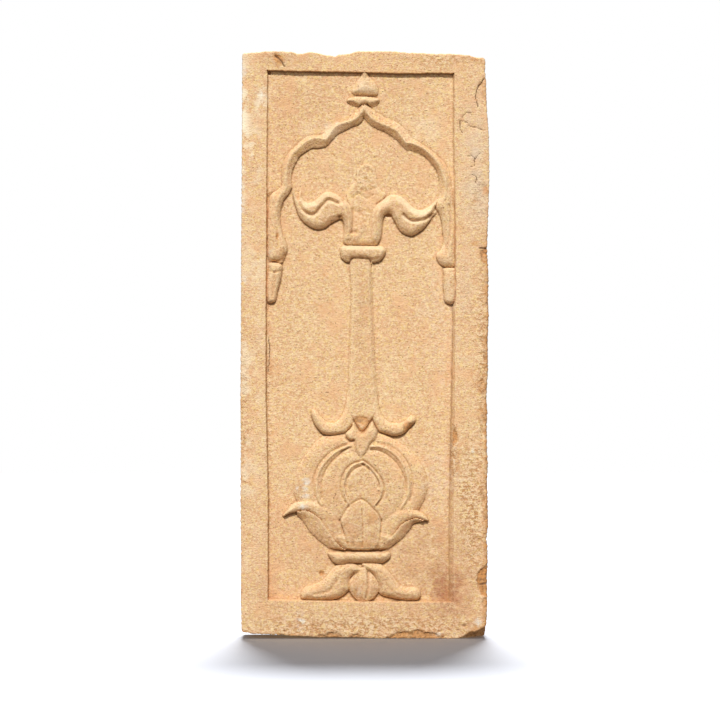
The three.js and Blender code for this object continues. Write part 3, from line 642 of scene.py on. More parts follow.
def raise_to(near, form):
    """Melt new heights into what stands already, where they are above the ground."""
    height[near] = np.where(form > 0, melt(height[near], form, MELT), height[near])


def carve_plate(top, shoulder, outline):
    ring = smooth_line(outline, closed=True)
    near = close_to(ring, x, z, 1)
    near = near[inside(ring, x[near], z[near])]
    far = np.abs(side_of(ring, x[near], z[near]))
    if isinstance(top, tuple):
        (ax, az, low_top), (bx, bz, high_top) = top
        way = np.array([bx - ax, bz - az])
        share = ((x[near] - ax) * way[0] + (z[near] - az) * way[1]) / (way @ way)
        top = low_top + (high_top - low_top) * np.clip(share, 0, 1.2)
    shoulder, cut_share = shoulder if isinstance(shoulder, tuple) else (shoulder, CUT_SHARE)
    raise_to(near, top * shouldered(far / shoulder, cut_share) * np.clip(far / CUT_EDGE + 0.25, 0, 1))


def slope(low_line, high_line, low_height, high_height, bulge=0.0):
    """Points between two lines, and a height that rises from one to the other, straight or bulging."""
    low_line, high_line = smooth_line(low_line), smooth_line(high_line)
    ring = np.vstack([low_line, high_line[::-1]])
    near = close_to(ring, x, z, 1)
    near = near[inside(ring, x[near], z[near])]
    low_far = np.abs(side_of(low_line, x[near], z[near]))
    high_far = np.abs(side_of(high_line, x[near], z[near]))
    share = low_far / np.maximum(low_far + high_far, 1e-6)
    share += bulge * share * (1 - share)
    return near, low_height + (high_height - low_height) * share


def carve_rib(half, top, line):
    line = smooth_line(line)
    near = close_to(line, x, z, half)
    s = side_of(line, x[near], z[near]) / half
    raise_to(near, np.where(np.abs(s) < 1, ridged(s) * top, 0))


def carve_groove(cut, half, line):
    line = smooth_line(line)
    near = close_to(line, x, z, GROOVE_REACH * half)
    share = np.clip(1 - np.abs(side_of(line, x[near], z[near])) / (GROOVE_REACH * half), 0, 1)
    height[near] -= cut * share * share * (3 - 2 * share)


crest = (ARCH_LINES["left lobe, crest"][::-1] + ARCH_LINES["left rise, crest"][::-1]
         + ARCH_LINES["right rise, crest"] + ARCH_LINES["right lobe, crest"])
under_arch = np.array([(-160, 235)] + crest + [(160, 205)], dtype=float)
near = np.flatnonzero(z > 180)
side = side_of(under_arch, x[near], z[near])
above = np.where(inside(np.vstack([under_arch, [(160, 460), (-160, 460)]]), x[near], z[near]), 1, -1)
height[near] = SPANDREL_RISE * soft_step(np.abs(side) * above, GROUND_EDGE)

for part, foot_height in ARCH_FEET.items():
    foot_line, crest_line, back_line = (ARCH_LINES[f"{part}, {name}"] for name in ("foot", "crest", "back"))
    raise_to(*slope(foot_line, crest_line, foot_height, ARCH_CREST))
    raise_to(*slope(back_line, crest_line, SPANDREL_RISE + BEHIND_ARCH, ARCH_CREST))
for group in PLATES:
    for plate in group.values():
        carve_plate(*plate)
for low_height, high_height, bulge, low_line, high_line in PETAL_UNDERSIDES.values():
    raise_to(*slope(low_line, high_line, low_height, high_height, bulge))
for rib in RIBS.values():
    carve_rib(*rib)
for group in LATE_PLATES:
    for plate in group.values():
        carve_plate(*plate)
for low_height, high_height, low_line, high_line in UNDERSIDES.values():
    near, form = slope(low_line, high_line, low_height, high_height)
    height[near] = np.minimum(height[near], form)
for groove in GROOVES:
    carve_groove(*groove)
height = np.maximum(height, -DEEPEST_GROOVE)


def blurred(grid, times):
    """A grid of numbers, each turned into the mean of itself and its neighbours, some times over."""
    for turn in range(times):
        padded = np.pad(grid, 1, mode="edge")
        grid = (2 * padded[1:-1, 1:-1] + padded[:-2, 1:-1] + padded[2:, 1:-1]
                + padded[1:-1, :-2] + padded[1:-1, 2:]) / 6
    return grid


as_grid = np.zeros((sum(columns) + 1, sum(rows) + 1))
as_grid[column, row] = height
height = (1 - SOFTENING) * height + SOFTENING * blurred(as_grid, 1)[column, row]
print("highest carving", round(height.max(), 2), "mm above the field")

# %% [markdown]
# Worn and broken places. A blot is an ellipse: its middle, its half sizes and how strong it is there. A
# smooth random pattern frays its edge. The chips are blots, and so are the flakes, whose edges are smoother
# because the stone split along its bedding there. A cloud is an ellipse that fades out slowly, with no edge,
# and says where the stone is pitted. The cracks are thin lines that wander a little. Later, more blots and
# clouds change only the colour.

# %% Random patterns, blots, clouds and lines
def pattern(px, pz, wide, tall, seed):
    """A smooth random pattern from -1 to 1, with patches about that wide and tall."""
    table = np.random.default_rng(seed).random((97, 97))
    gx, gz = px / wide, pz / tall
    ix, iz = np.floor(gx).astype(int), np.floor(gz).astype(int)
    tx, tz = gx - ix, gz - iz
    tx, tz = tx * tx * (3 - 2 * tx), tz * tz * (3 - 2 * tz)
    knots = [[table[(ix + i) % 97, (iz + k) % 97] for k in (0, 1)] for i in (0, 1)]
    lower = knots[0][0] * (1 - tx) + knots[1][0] * tx
    upper = knots[0][1] * (1 - tx) + knots[1][1] * tx
    return 2 * (lower * (1 - tz) + upper * tz) - 1


def waves(shapes, px, pz):
    """The sum of several patterns: each a strength, the width and height of its patches, and a seed."""
    return sum(strength * pattern(px, pz, wide, tall, seed) for strength, wide, tall, seed in shapes)


def blots(shapes, px, pz, fray, seed, edge):
    """The strongest of several frayed ellipses at every point, with edges that many millimetres soft."""
    total = np.zeros(len(px))
    frayed = fray * (0.7 * pattern(px, pz, 9, 7, seed) + 0.35 * pattern(px, pz, 3.2, 2.8, seed + 1))
    for middle_x, middle_z, half_x, half_z, strength in shapes:
        near = (np.abs(px - middle_x) < 2 * half_x + 2) & (np.abs(pz - middle_z) < 2 * half_z + 2)
        near = np.flatnonzero(near)
        far = np.hypot((px[near] - middle_x) / half_x, (pz[near] - middle_z) / half_z) + frayed[near]
        steep = max(min(half_x, half_z) / edge, 1.0)
        total[near] = np.maximum(total[near], strength * np.clip((1 - far) * steep, 0, 1))
    return total


def clouds(shapes, px, pz):
    """The strongest of several wide, soft clouds at every point."""
    total = np.zeros(len(px))
    for middle_x, middle_z, half_x, half_z, strength in shapes:
        far = np.hypot((px - middle_x) / half_x, (pz - middle_z) / half_z)
        total = np.maximum(total, strength * np.exp(-far * far))
    return total


def lines(shapes, px, pz):
    """Thin lines: 1 on the line, 0 at its width from it. Each is a width and its places."""
    total = np.zeros(len(px))
    px = px + 0.7 * pattern(px, pz, 5, 5, 61) + 0.4 * pattern(px, pz, 2, 2, 62)
    pz = pz + 0.7 * pattern(px, pz, 5, 5, 63) + 0.4 * pattern(px, pz, 2, 2, 64)
    for width, way in shapes:
        way = np.array(way, dtype=float)
        near = close_to(way, px, pz, 4)
        side = side_of(way, px[near], pz[near])
        total[near] = np.maximum(total[near], np.clip(1.3 - 1.3 * np.abs(side) / width, 0, 1))
    return total


# %% Where the stone is chipped and cracked
CHIPS = [
    (192, 147, 10, 7, 1.6), (-137, 453, 5, 5, 1.8),
    (68, -128, 7, 8, 2.2), (84, -460, 50, 12, 2.4), (-51, -458, 20, 8, 2.4), (-15, -459, 9, 6, 2.2),
    (-150.5, 428, 4.5, 3.4, 3.0), (-139, 453, 4, 2.6, 2.6), (-126, -449, 2.6, 2.6, 2.5),
    (157, -440, 4.5, 3, 1.8), (-161, 421, 2.2, 2.2, 1.6), (-90, 355, 1.8, 1.8, 1.5),
    (-161.5, 9.7, 2, 2, 1.6), (36, -18, 1.7, 1.7, 1.3), (-4.6, 47, 1.5, 1.5, 1.0), (0, 16, 1.5, 1.5, 1.0),
    (141, -144, 5, 14, 2.0), (-40, 202, 4.5, 3, 2.4), (38, 203.6, 6.5, 3.4, 2.4), (-138, 171, 2.4, 6, 2.2),
    (-4, -117, 11, 8, 1.4), (-17, 177, 9, 5, 1.4), (-27, -310, 4, 2.5, 1.4), (-68, -359, 4.5, 5, 1.6),
    (183, 7, 5, 10, 1.2), (184, -60, 4, 7, 1.4), (184, -140, 5, 12, 1.4), (185, -240, 5, 16, 1.6),
]
FLAKES = [(197, 398, 21, 24, 1.5), (196, -371, 21, 27, 2.6), (190, -405, 7, 9, 1.2), (187, 247, 5, 9, 1.2)]
CRACKS = [
    (1.3, [(187, 418), (180, 408), (175, 400), (174, 387), (178, 375)]),
    (1.0, [(146, 353), (155, 352), (162, 349), (165, 344), (173, 342), (184, 339)]),
    (0.9, [(152, 357), (159, 365), (166, 364.5), (170, 359)]), (0.8, [(150, 352), (149, 340), (153, 334)]),
    (0.9, [(161, 296), (168, 298), (173, 292), (181, 302)]), (0.8, [(172, 292), (172, 283), (166, 280)]),
    (0.8, [(168, 268), (176, 264), (174, 256), (181, 250)]), (2.2, [(181, 152), (193, 151.6)]),
    (2.4, [(181, -376), (191, -374)]), (1.2, [(-151, 12), (-150, -9), (-152, -40)]),
    (2.0, [(-141, 455), (-136, 451), (-130, 444), (-126, 438)]),
]
PITTED = [
    (172, -250, 24, 120, 0.9), (184, -20, 9, 190, 0.8), (0, -442, 230, 24, 0.8), (-190, -120, 6, 160, 0.8),
    (-2, 258, 22, 28, 0.6), (2, 264, 11, 10, 0.5), (-5, 203, 18, 34, 0.5), (-6, -220, 100, 60, 0.2),
    (-3, 143, 40, 15, 0.55), (161, -230, 17, 24, 1.0), (-72, 205, 44, 30, 0.4), (72, 195, 44, 30, 0.4),
    (-5, -375, 100, 34, 0.35), (-5, -300, 70, 24, 0.3), (-8, -332, 55, 12, 0.4), (178, 230, 18, 60, 0.6),
    (-140, 455, 20, 14, 0.7), (140, -170, 6, 60, 0.8), (-152, -100, 5, 240, 0.6),
    (-30, -290, 50, 40, 0.35), (120, 449, 70, 12, 0.6), (172, 60, 24, 60, 0.4),
]
CRACK_DEPTH = 1.3
FLAKE_FRAY, FLAKE_EDGE, FLAKE_SEED = 0.12, 1.6, 9
chipped = blots(CHIPS, x, z, 0.4, 7, edge=2.2)
chipped = np.maximum(chipped, blots(FLAKES, x, z, FLAKE_FRAY, FLAKE_SEED, FLAKE_EDGE))
chipped += CRACK_DEPTH * lines(CRACKS, x, z)

# %% Where the corner is broken off and the right edge has crumbled
BREAK_AT, BREAK_FACES, BREAK_SLOPE, BREAK_DEPTH = (149, -458), (0.37, -0.93), 2.0, 24
CRUMBLED_BELOW, CRUMBLED_ABOVE = 165, -440
beyond = (x - BREAK_AT[0]) * BREAK_FACES[0] + (z - BREAK_AT[1]) * BREAK_FACES[1]
broken = BREAK_SLOPE * (beyond + 1.6 * pattern(x, z, 7, 7, 11) + 0.8 * pattern(x, z, 2.6, 2.6, 12))
broken = np.clip(broken, 0, BREAK_DEPTH)
crumbled = np.clip(soft_step(CRUMBLED_BELOW - z, 60) * soft_step(z - CRUMBLED_ABOVE, 30), 0, 1)
print("chips", len(CHIPS), "broken corner", round(broken.max(), 1), "mm deep")

# %% [markdown]
# Depth below the face of the border. In the field it is the field's depth less the carving, and the four
# walls lean back from it. Outside, the worn arris rolls away from the face, and the roll is wider down the
# right side, where the stone has crumbled. The long soft waves and the short flat marks of the chisel go over
# everything. The carving, the right border and the foot of the slab are rougher, and the pitted places have
# small holes.

# %% Turn heights into the face
ARRIS_ROLL = 2.4
CRUMBLED_ROLL = 6.5
LONG_WAVES = [(0.28, 34, 30, 21), (0.17, 12, 9, 22)]
CHISEL_MARKS = [(0.10, 8, 3.4, 23), (0.15, 3.6, 3.2, 24)]
ROUGHNESS = [(1.0, 5.5, 3.8, 25), (0.7, 14, 10, 26)]
PIT_DEPTH = 0.9


def rolled(gap, roll):
    """The depth of a worn arris at a distance from the edge."""
    share = np.clip(1 - gap / roll, 0, 1)
    return 0.8 * roll * (1 - np.sqrt(1 - share * share))


right_roll = ARRIS_ROLL + (CRUMBLED_ROLL - ARRIS_ROLL) * crumbled * (0.7 + 0.5 * wave(z, 31, 9.0))
right_roll = np.maximum(right_roll + 1.4 * wave(z, 32, 4.0), 1.4)
other_roll = ARRIS_ROLL * (1 + 0.5 * wave(x + z, 33, 6.0))
worn = np.maximum(rolled(np.minimum(from_left, from_top), other_roll), rolled(from_right, right_roll))
worn = np.maximum(worn, rolled(from_bottom, 0.5 * other_roll))
wall_share = np.maximum(
    np.maximum((x - field_right) / right_lean, (field_left - x) / WALL_LEAN["left"]),
    np.maximum((z - field_top) / WALL_LEAN["top"], (field_bottom - z) / WALL_LEAN["bottom"]))
wall_depth = FIELD_DEPTH * (1 - np.clip(wall_share, 0, 1))
opening = in_field | on_wall
depth = np.where(opening, np.minimum(wall_depth, FIELD_DEPTH - height), worn)
depth += waves(LONG_WAVES, x, z)
depth += waves(CHISEL_MARKS, x, z)
rougher = np.where(opening, 0.05, 0.08) + 0.05 * soft_step(x - 120, 30) + 0.08 * soft_step(-410 - z, 20)
rougher = np.clip(rougher + 0.10 * np.where(height > 2, 1, 0), 0, 0.25)
depth += rougher * waves(ROUGHNESS, x, z)
small_pits = np.clip(pattern(x, z, 3.6, 3.0, 27) - 0.45, 0, 1)
wide_pits = np.clip(pattern(x, z, 8, 6, 28) - 0.5, 0, 1)
depth += PIT_DEPTH * (small_pits + 0.6 * wide_pits) * clouds(PITTED, x, z)
depth = np.maximum(depth, 0.0) + chipped + np.where(opening, 0, broken)
put(stone.data, np.column_stack([x, -THICKNESS + depth, z]))
print("depths", round(depth.min(), 2), "to", round(depth.max(), 2))

# %% [markdown]
# Where the surface is hollow, its colour gets a painted shade, browner and darker. Where it stands proud, it
# is painted paler, partly as rubbed wear and partly as a painted highlight. Both are read off here, while the
# face
# is still a grid: the depth of each vertex against the mean of its neighbours, once over several rows and
# once close by. A hollow under a ledge gets most of its painted shade, as the ledge shades it. The rims of
# chips are too new to be rubbed and get no paler edge. A painted shade also lies in the seam at the foot of
# the field's right wall.

# %% Hollows of the face
FAR_HOLLOW, NEAR_HOLLOW = 0.9, 0.7
LEDGE_SHADE_ROWS, LEDGE_SHADE_STEP = 3, 2.5
BORDER_RUBBED_AND_HIGHLIT = 0.35
SEAM_SHADE_STRENGTH, SEAM_WIDTH = [(-133, 0.5), (100, 0.3)], 2.0
SEAM_FOOT, SEAM_HEAD = -402, 430
as_grid[column, row] = depth
hollow = (as_grid - blurred(as_grid, 5))[column, row] / FAR_HOLLOW
hollow += (as_grid - blurred(as_grid, 1))[column, row] / NEAR_HOLLOW
hollow = np.clip(hollow, -1, 1)
# Painted shade: a hollow under a ledge gets more of it, as the ledge shades it.
from_above = np.pad(as_grid, ((0, 0), (0, LEDGE_SHADE_ROWS)), mode="edge")[:, LEDGE_SHADE_ROWS:]
ledge_shade = np.clip((as_grid - from_above)[column, row] / LEDGE_SHADE_STEP, 0, 1)
chip_grid = np.zeros_like(as_grid)
chip_grid[column, row] = chipped + np.where(opening, 0, broken)
near_chip = np.clip(4 * blurred(chip_grid, 5)[column, row], 0, 1)
# Proud places are painted paler, partly as wear and partly as a painted highlight, but not next to chips.
rubbed_and_highlit = np.where(in_field, 1.0, BORDER_RUBBED_AND_HIGHLIT) * (1 - near_chip)
# Painted shade in the hollows, most of it under ledges.
hollow = np.where(hollow > 0, hollow * (0.4 + 0.6 * ledge_shade), hollow * rubbed_and_highlit)
# A painted shade along the seam at the foot of the field's right wall.
from_seam = (x - field_right - 0.3 * right_lean) / SEAM_WIDTH
seam_shade = np.exp(-(from_seam ** 2)) * (0.7 + 0.5 * pattern(x, z, 30, 12, 29))
hollow += along(SEAM_SHADE_STRENGTH, z) * np.where((z > SEAM_FOOT) & (z < SEAM_HEAD), seam_shade, 0)
print("mean hollow", round(float(np.abs(hollow).mean()), 3))

# %% [markdown]
# The sides and the back. The face's border loop is extruded backwards in courses, and the last loop is
# filled. The courses give the sides rows of vertices to roughen, because a mason leaves them as the stone
# split.

# %% Extrude the sides and close the back
COURSES = 14
STEP_BACK = 1.0
face_count = len(stone.data.vertices)
bpy.ops.object.mode_set(mode="EDIT")
bpy.ops.mesh.select_mode(type="EDGE")
bpy.ops.mesh.select_all(action="DESELECT")
bpy.ops.mesh.select_non_manifold(extend=False)
for turn in range(COURSES):
    bpy.ops.mesh.extrude_region_move(TRANSFORM_OT_translate={"value": (0, STEP_BACK * MM, 0)})
bpy.ops.mesh.edge_face_add()
bpy.ops.mesh.select_all(action="SELECT")
bpy.ops.mesh.normals_make_consistent(inside=False)
bpy.ops.object.mode_set(mode="OBJECT")
print("vertices", len(stone.data.vertices), "faces", len(stone.data.polygons))

# %% Space the courses out and roughen them
MEAN_SPLIT, DEEPEST_SPLIT, BACK_SPLIT = 1.1, 6, 1.5
SPLIT_FROM_CORNER = 16


def nearness(half, place):
    """How fully a side is split back: 1 at the slab's edge, 0 some way in from it."""
    return np.clip(1 - (half - np.abs(place)) / SPLIT_FROM_CORNER, 0, 1) ** 0.5


points = places(stone.data)
sides = points[face_count:]
per_course = len(sides) // COURSES
level = 1 + np.arange(len(sides)) // per_course
front = sides[:, 1] - level * STEP_BACK
sides[:, 1] = front * (1 - level / COURSES)
around = sides[:, 0] + sides[:, 2]
split = MEAN_SPLIT + 0.9 * pattern(around, sides[:, 1], 26, 18, 51)
split += 0.5 * pattern(around, sides[:, 1], 8, 7, 52)
at_back = BACK_SPLIT * np.clip(level / COURSES - 0.9, 0, 1) * 10
split += 0.3 * pattern(around, sides[:, 1], 3.5, 3.5, 53) + at_back
split = np.clip(split, 0, DEEPEST_SPLIT) * np.clip(level / 3, 0, 1)
reach_x, reach_z = nearness(HALF_WIDTH, sides[:, 0]), nearness(HALF_HEIGHT, sides[:, 2])
sides[:, 0] -= np.sign(sides[:, 0]) * reach_x * split
sides[:, 2] -= np.sign(sides[:, 2]) * reach_z * split
points[face_count:] = sides
put(stone.data, points)
print("courses of", per_course, "vertices, rough to", round(split.max(), 1), "mm")

# %% [markdown]
# The face is finer than it need be where the stone is flat. A decimate modifier, applied, takes vertices
# away there and leaves the carving, the arrises and the breaks with the vertices that they need.

# %% Thin the mesh out
TRIANGLES = 186000
fine_x, fine_z = points[:face_count, 0], points[:face_count, 2]
triangles = sum(len(face.vertices) - 2 for face in stone.data.polygons)
thin = stone.modifiers.new("thin", "DECIMATE")
thin.ratio = TRIANGLES / triangles
bpy.ops.object.modifier_apply(modifier=thin.name)
stone.data.calc_loop_triangles()
print("triangles", triangles, "thinned to", len(stone.data.loop_triangles))

# %% [markdown]
# Stains of the stone, and one painted light, each a blot or a cloud with its middle, half sizes and strength.
# Lime is old white wash in thin patches. Rust is the orange and brown of broken and flaked places. Cream is
# bleached stone, most of it in the left border. Warm is a darker, redder cast, strongest in the lower right
# corner of the field. Lit tops are ledges of the capital, the collar and the left petal, whose upward faces
# get a painted light. Haze is a greyer film on the right border.

# %% Stains of the stone
LIME = [
    (-192, 430, 6, 30, 0.6), (-192, 225, 5, 60, 0.5), (-163, 390, 7, 12, 0.6), (-42, 348, 11, 5, 0.8),
    (-94, -225, 10, 14, 0.8), (-96, -255, 12, 5, 0.9), (-9, -384, 4, 6, 0.8), (-100, -434, 8, 12, 0.9),
    (116, -453, 10, 4, 0.7), (140, -453, 4, 7, 0.7), (177, -435, 5, 9, 0.8), (-148, 150, 7, 9, 0.4),
    (168, -168, 3, 3, 0.8), (-190, 100, 6, 24, 0.5), (-190, -60, 5, 20, 0.5), (-190, -200, 5, 14, 0.4),
    (-68, 124, 1.5, 3, 0.9), (50, 128, 2, 7, 0.7), (9, -199, 6, 4, 0.5), (120, 40, 30, 90, 0.14),
    (120, -210, 26, 60, 0.16), (0, 408, 12, 14, 0.1), (-60, 346, 26, 4, 0.3),
]
RUST = [
    (200, 398, 18, 20, 0.45), (192, 140, 9, 13, 0.7), (-137, 451, 9, 8, 0.8),
    (-134, 445, 8, 8, 0.5), (68, -128, 7, 8, 0.8), (84, -460, 50, 11, 0.8), (-51, -458, 19, 6, 0.8),
    (-15, -459, 8, 4, 0.8), (182, -454, 22, 15, 0.6), (172, 450, 9, 6, 0.45), (141, -144, 5, 14, 0.9),
    (145, -190, 4, 30, 0.5), (190, 141, 10, 13, 1.0), (172, 160, 7, 5, 0.6), (168, 60, 5, 3, 0.4),
    (189, 242, 6, 11, 1.0), (187, 138, 7, 9, 1.0), (176, -60, 8, 6, 0.4),
    (-138, 171, 3, 8, 0.9), (-4, -117, 12, 9, 0.7), (-131, 142, 6, 12, 0.4), (-68, -359, 5, 6, 0.7),
    (-148, -35, 4, 14, 0.4), (10, -272, 10, 10, 0.55), (-5, -313, 30, 6, 0.6), (-27, -310, 5, 3, 0.5),
    (-35, 229, 4, 4, 0.45), (45, 231, 6, 3, 0.45), (-28, 163, 3, 3, 0.7), (-40, 202, 5, 3, 0.6),
    (38, 203.6, 6.5, 3.4, 0.6), (-4, 162, 28, 4, 0.3), (-27, 200, 2, 26, 0.5), (18, 200, 2, 26, 0.5),
    (183, -110, 8, 12, 0.5),
    (157, -140, 5, 2, 0.9), (182, -60, 6, 16, 0.5), (-5, -140, 14, 14, 0.3),
]
CREAM = [
    (-192, 345, 12, 110, 1.0), (-164, 388, 13, 22, 1.0), (-176, 300, 14, 50, 0.7), (-170, 120, 16, 60, 0.4),
    (0, 406, 14, 14, 0.2), (-60, 335, 34, 14, 0.35), (90, 345, 30, 30, 0.25), (-187, -90, 9, 260, 0.5),
    (-172, -60, 16, 300, 0.2),
]
WARM = [
    (131, -388, 30, 44, 1.25), (108, -350, 70, 80, 0.55), (0, -440, 260, 34, 0.22),
    (-10, -325, 105, 70, 0.3), (172, -330, 30, 150, 0.12), (-150, -385, 30, 50, 0.3),
    (-5, 60, 14, 85, 0.18), (-120, -300, 60, 90, 0.12), (182, -445, 30, 20, 0.5),
    (135, -250, 5, 170, 0.4), (-105, 385, 60, 50, 0.13), (-122, 450, 40, 12, 0.25),
    (60, 390, 70, 40, 0.08), (168, 452, 30, 8, 0.25), (90, -440, 90, 22, 0.3),
    (-150, 60, 50, 120, 0.05), (-106, -215, 8, 38, 0.35), (-92, -182, 14, 14, 0.3),
    (-5, -298, 34, 34, 0.42), (40, -325, 60, 14, 0.45), (-5, -375, 100, 26, 0.3),
]
# Painted light on the upward faces of these ledges.
LIT_TOPS = [
    (-75, 212, 52, 34, 0.6), (72, 205, 54, 36, 1.0), (-3, 152, 46, 14, 0.6), (-95, -252, 30, 10, 0.5),
]
HAZE = [(172, 290, 20, 90, 0.5), (180, 225, 14, 40, 0.4), (160, 120, 14, 60, 0.2)]
print("stains:", len(LIME) + len(RUST) + len(CREAM) + len(WARM) + len(LIT_TOPS) + len(HAZE))

# %% [markdown]
# The thinned mesh has vertices of its own, and the values worked out so far belong to the fine grid. So each
# vertex looks up the nearest place of the grid as seen from the front, and takes that place's values. Its
# normal tells whether it lies on the face or on a rough side.

# %% Look up each vertex on the fine face
points = places(stone.data)
px, py, pz = points.T
normals = np.empty(len(points) * 3)
stone.data.vertex_normals.foreach_get("vector", normals)
normals = normals.reshape(-1, 3)
finder = KDTree(face_count)
for index, place in enumerate(zip(fine_x, fine_z)):
    finder.insert((*place, 0), index)
finder.balance()
nearest = np.array([finder.find((*place, 0))[1] for place in zip(px, pz)])
gap_left, gap_right, gap_bottom = from_left[nearest], from_right[nearest], from_bottom[nearest]
on_side = (from_edge[nearest] < 1.2) & (normals[:, 1] > -0.55) & (py < -1)
on_face = ((normals[:, 1] < 0) & ~on_side).astype(float)
print("vertices on the face", int(on_face.sum()), "of", len(points))

# %% [markdown]
# Rust follows the breaks. It runs as a ragged fringe down the lower half of the left edge, down most of the
# right edge, where it is widest on the crumbled part, and along the foot. The two lower flakes are brown all
# over, with the outline that they have in the stone. The split sides are rusty in broad patches.

# %% How rusty each vertex is
edge_rust = 0.9 * np.clip(1 - gap_left / 5, 0, 1) * np.clip(2.2 * pattern(px, pz, 5, 11, 44) + 0.1, 0, 1)
edge_rust *= soft_step(80 - pz, 80)
crumble = np.clip(1 - gap_right / 8, 0, 1) ** 0.5 * crumbled[nearest]
edge_rust = np.maximum(edge_rust, crumble * np.clip(0.75 + 1.6 * pattern(px, pz, 5, 9, 45), 0, 1))
fringe = np.clip(1.4 - gap_right / 3, 0, 1) * np.clip(0.5 + 1.5 * pattern(px, pz, 6, 16, 42), 0, 1)
edge_rust = np.maximum(edge_rust, fringe * soft_step(300 - pz, 60))
foot_rust = 0.8 * np.clip(1 - gap_bottom / 6, 0, 1) * np.clip(2 * pattern(px, pz, 9, 5, 46), 0, 1)
brown_flakes = FLAKES[1:3]
deepest_flake = max(flake[-1] for flake in brown_flakes)
flaked = blots(brown_flakes, px, pz, FLAKE_FRAY, FLAKE_SEED, FLAKE_EDGE) / deepest_flake
rust = np.maximum(blots(RUST, px, pz, 0.45, 7, edge=2.0), np.maximum(edge_rust, foot_rust))
rust = np.maximum(rust, flaked) * on_face
side_rust = np.clip(0.25 + 0.5 * pattern(px + pz, py, 24, 14, 47), 0, 0.7)
rust = np.where(on_side, np.maximum(rust, side_rust), rust)
print("rusty share", round(float((rust > 0.3).mean()), 3))

# %% [markdown]
# What the colour has to know is kept on the vertices as attributes. Besides the stains these are the hollows,
# which carry painted shade and painted highlight, the carving that bears tool marks, the pitted places, the
# faces that look down, which get a painted shade, the ledges that look up, which get a painted light, and the
# dirt in the cracks.

# %% Keep the values on the mesh
WARM_STRENGTH = 0.84
mottled = 1 + 0.55 * pattern(px, pz, 15, 12, 48) + 0.55 * pattern(px, pz, 5, 4, 50)
warm = WARM_STRENGTH * clouds(WARM, px, pz) * mottled
haze = clouds(HAZE, px, pz) * np.clip(0.8 + 0.9 * pattern(px, pz, 9, 9, 49), 0, 1.2)
looks_down = np.clip((-normals[:, 2] - 0.12) / 0.4, 0, 1)
looks_up = np.clip((normals[:, 2] - 0.06) / 0.3, 0, 1)


def keep(name, values):
    """Keep one number per vertex on the mesh."""
    layer = stone.data.attributes.new(name, "FLOAT", "POINT")
    layer.data.foreach_set("value", np.asarray(values, dtype=np.float32))


# The hollows carry painted shade, the proud places a painted highlight and wear.
keep("hollow", np.clip(hollow[nearest], -1, 1) * on_face)
keep("carved", np.clip((height * in_field)[nearest] / 4 - 0.5, 0, 1) * on_face)
keep("lime", blots(LIME, px, pz, 0.9, 41, edge=5.0) * on_face)
keep("rust", rust)
keep("warm", np.clip(warm, 0, 1))
keep("haze", np.clip(haze, 0, 1))
keep("cream", clouds(CREAM, px, pz) * on_face)
keep("pitted", clouds(PITTED, px, pz) * on_face)
# Faces that look down, for a painted shade.
keep("under", looks_down * on_face)
# Upward faces of some ledges, for a painted light.
keep("upper", looks_up * clouds(LIT_TOPS, px, pz) * on_face)
keep("dirt", lines(CRACKS, px, pz) * on_face)
print("attributes", [layer.name for layer in stone.data.attributes if layer.data_type == "FLOAT"])

# %% [markdown]
# Shading. Worn stone is smooth to the eye between its edges, so the faces are shaded smooth, except where two
# of them meet at more than 50 degrees, as they do at a break.

# %% Smooth shading, with the sharp edges kept
bpy.ops.object.select_all(action="DESELECT")
stone.select_set(True)
bpy.context.view_layer.objects.active = stone
bpy.ops.object.shade_smooth_by_angle(angle=math.radians(50))

# %% [markdown]
# The stone's colour. Buff sandstone is quartz sand held by a little iron: pale grains, orange and brown
# flecks, flat bedding streaks, and patches that are a little redder or paler. All of it is read from the
# stone's own coordinates, so that it goes through the block like real bedding. Each colour is laid over the
# ones before it, with a noise or an attribute that says where it shows.

# %% Sandstone: helpers for its nodes
sandstone = bpy.data.materials.new("sandstone")
sandstone.use_nodes = True
tree = sandstone.node_tree
shader = tree.nodes["Principled BSDF"]
shader.inputs["Roughness"].default_value = 0.9
shader.inputs["Specular IOR Level"].default_value = 0.25
coordinates = tree.nodes.new("ShaderNodeTexCoord").outputs["Object"]


def wire(value, socket):
    """Join an output to a socket, or set the socket to a plain value."""
    if isinstance(value, bpy.types.NodeSocket):
        tree.links.new(value, socket)
    else:
        socket.default_value = value


def noise(scale, detail=2.0, stretch=(1, 1, 1), roughness=0.55):
    """A noise of the stone's own coordinates, about 0.5 on average."""
    mapping = tree.nodes.new("ShaderNodeMapping")
    mapping.inputs["Scale"].default_value = stretch
    tree.links.new(coordinates, mapping.inputs["Vector"])
    made = tree.nodes.new("ShaderNodeTexNoise")
    made.inputs["Scale"].default_value = scale
    made.inputs["Detail"].default_value = detail
    made.inputs["Roughness"].default_value = roughness
    tree.links.new(mapping.outputs["Vector"], made.inputs["Vector"])
    return made.outputs["Factor"] if "Factor" in made.outputs else made.outputs["Fac"]


def ramp(value, start, end, low_value=0.0, high_value=1.0):
    """A straight ramp of a value, clamped."""
    made = tree.nodes.new("ShaderNodeMapRange")
    wire(value, made.inputs["Value"])
    made.inputs["From Min"].default_value = start
    made.inputs["From Max"].default_value = end
    made.inputs["To Min"].default_value = low_value
    made.inputs["To Max"].default_value = high_value
    return made.outputs["Result"]


def maths(operation, a, b):
    made = tree.nodes.new("ShaderNodeMath")
    made.operation = operation
    wire(a, made.inputs[0])
    wire(b, made.inputs[1])
    return made.outputs["Value"]


def blend(factor, a, b, kind="MIX"):
    """Two colours mixed."""
    made = tree.nodes.new("ShaderNodeMix")
    made.data_type = "RGBA"
    made.blend_type = kind
    wire(factor, made.inputs["Factor"])
    wire(a, made.inputs["A_Color"] if "A_Color" in made.inputs else made.inputs[6])
    wire(b, made.inputs["B_Color"] if "B_Color" in made.inputs else made.inputs[7])
    return made.outputs["Result_Color"] if "Result_Color" in made.outputs else made.outputs[2]


def attribute(name):
    made = tree.nodes.new("ShaderNodeAttribute")
    made.attribute_name = name
    return made.outputs["Fac"]


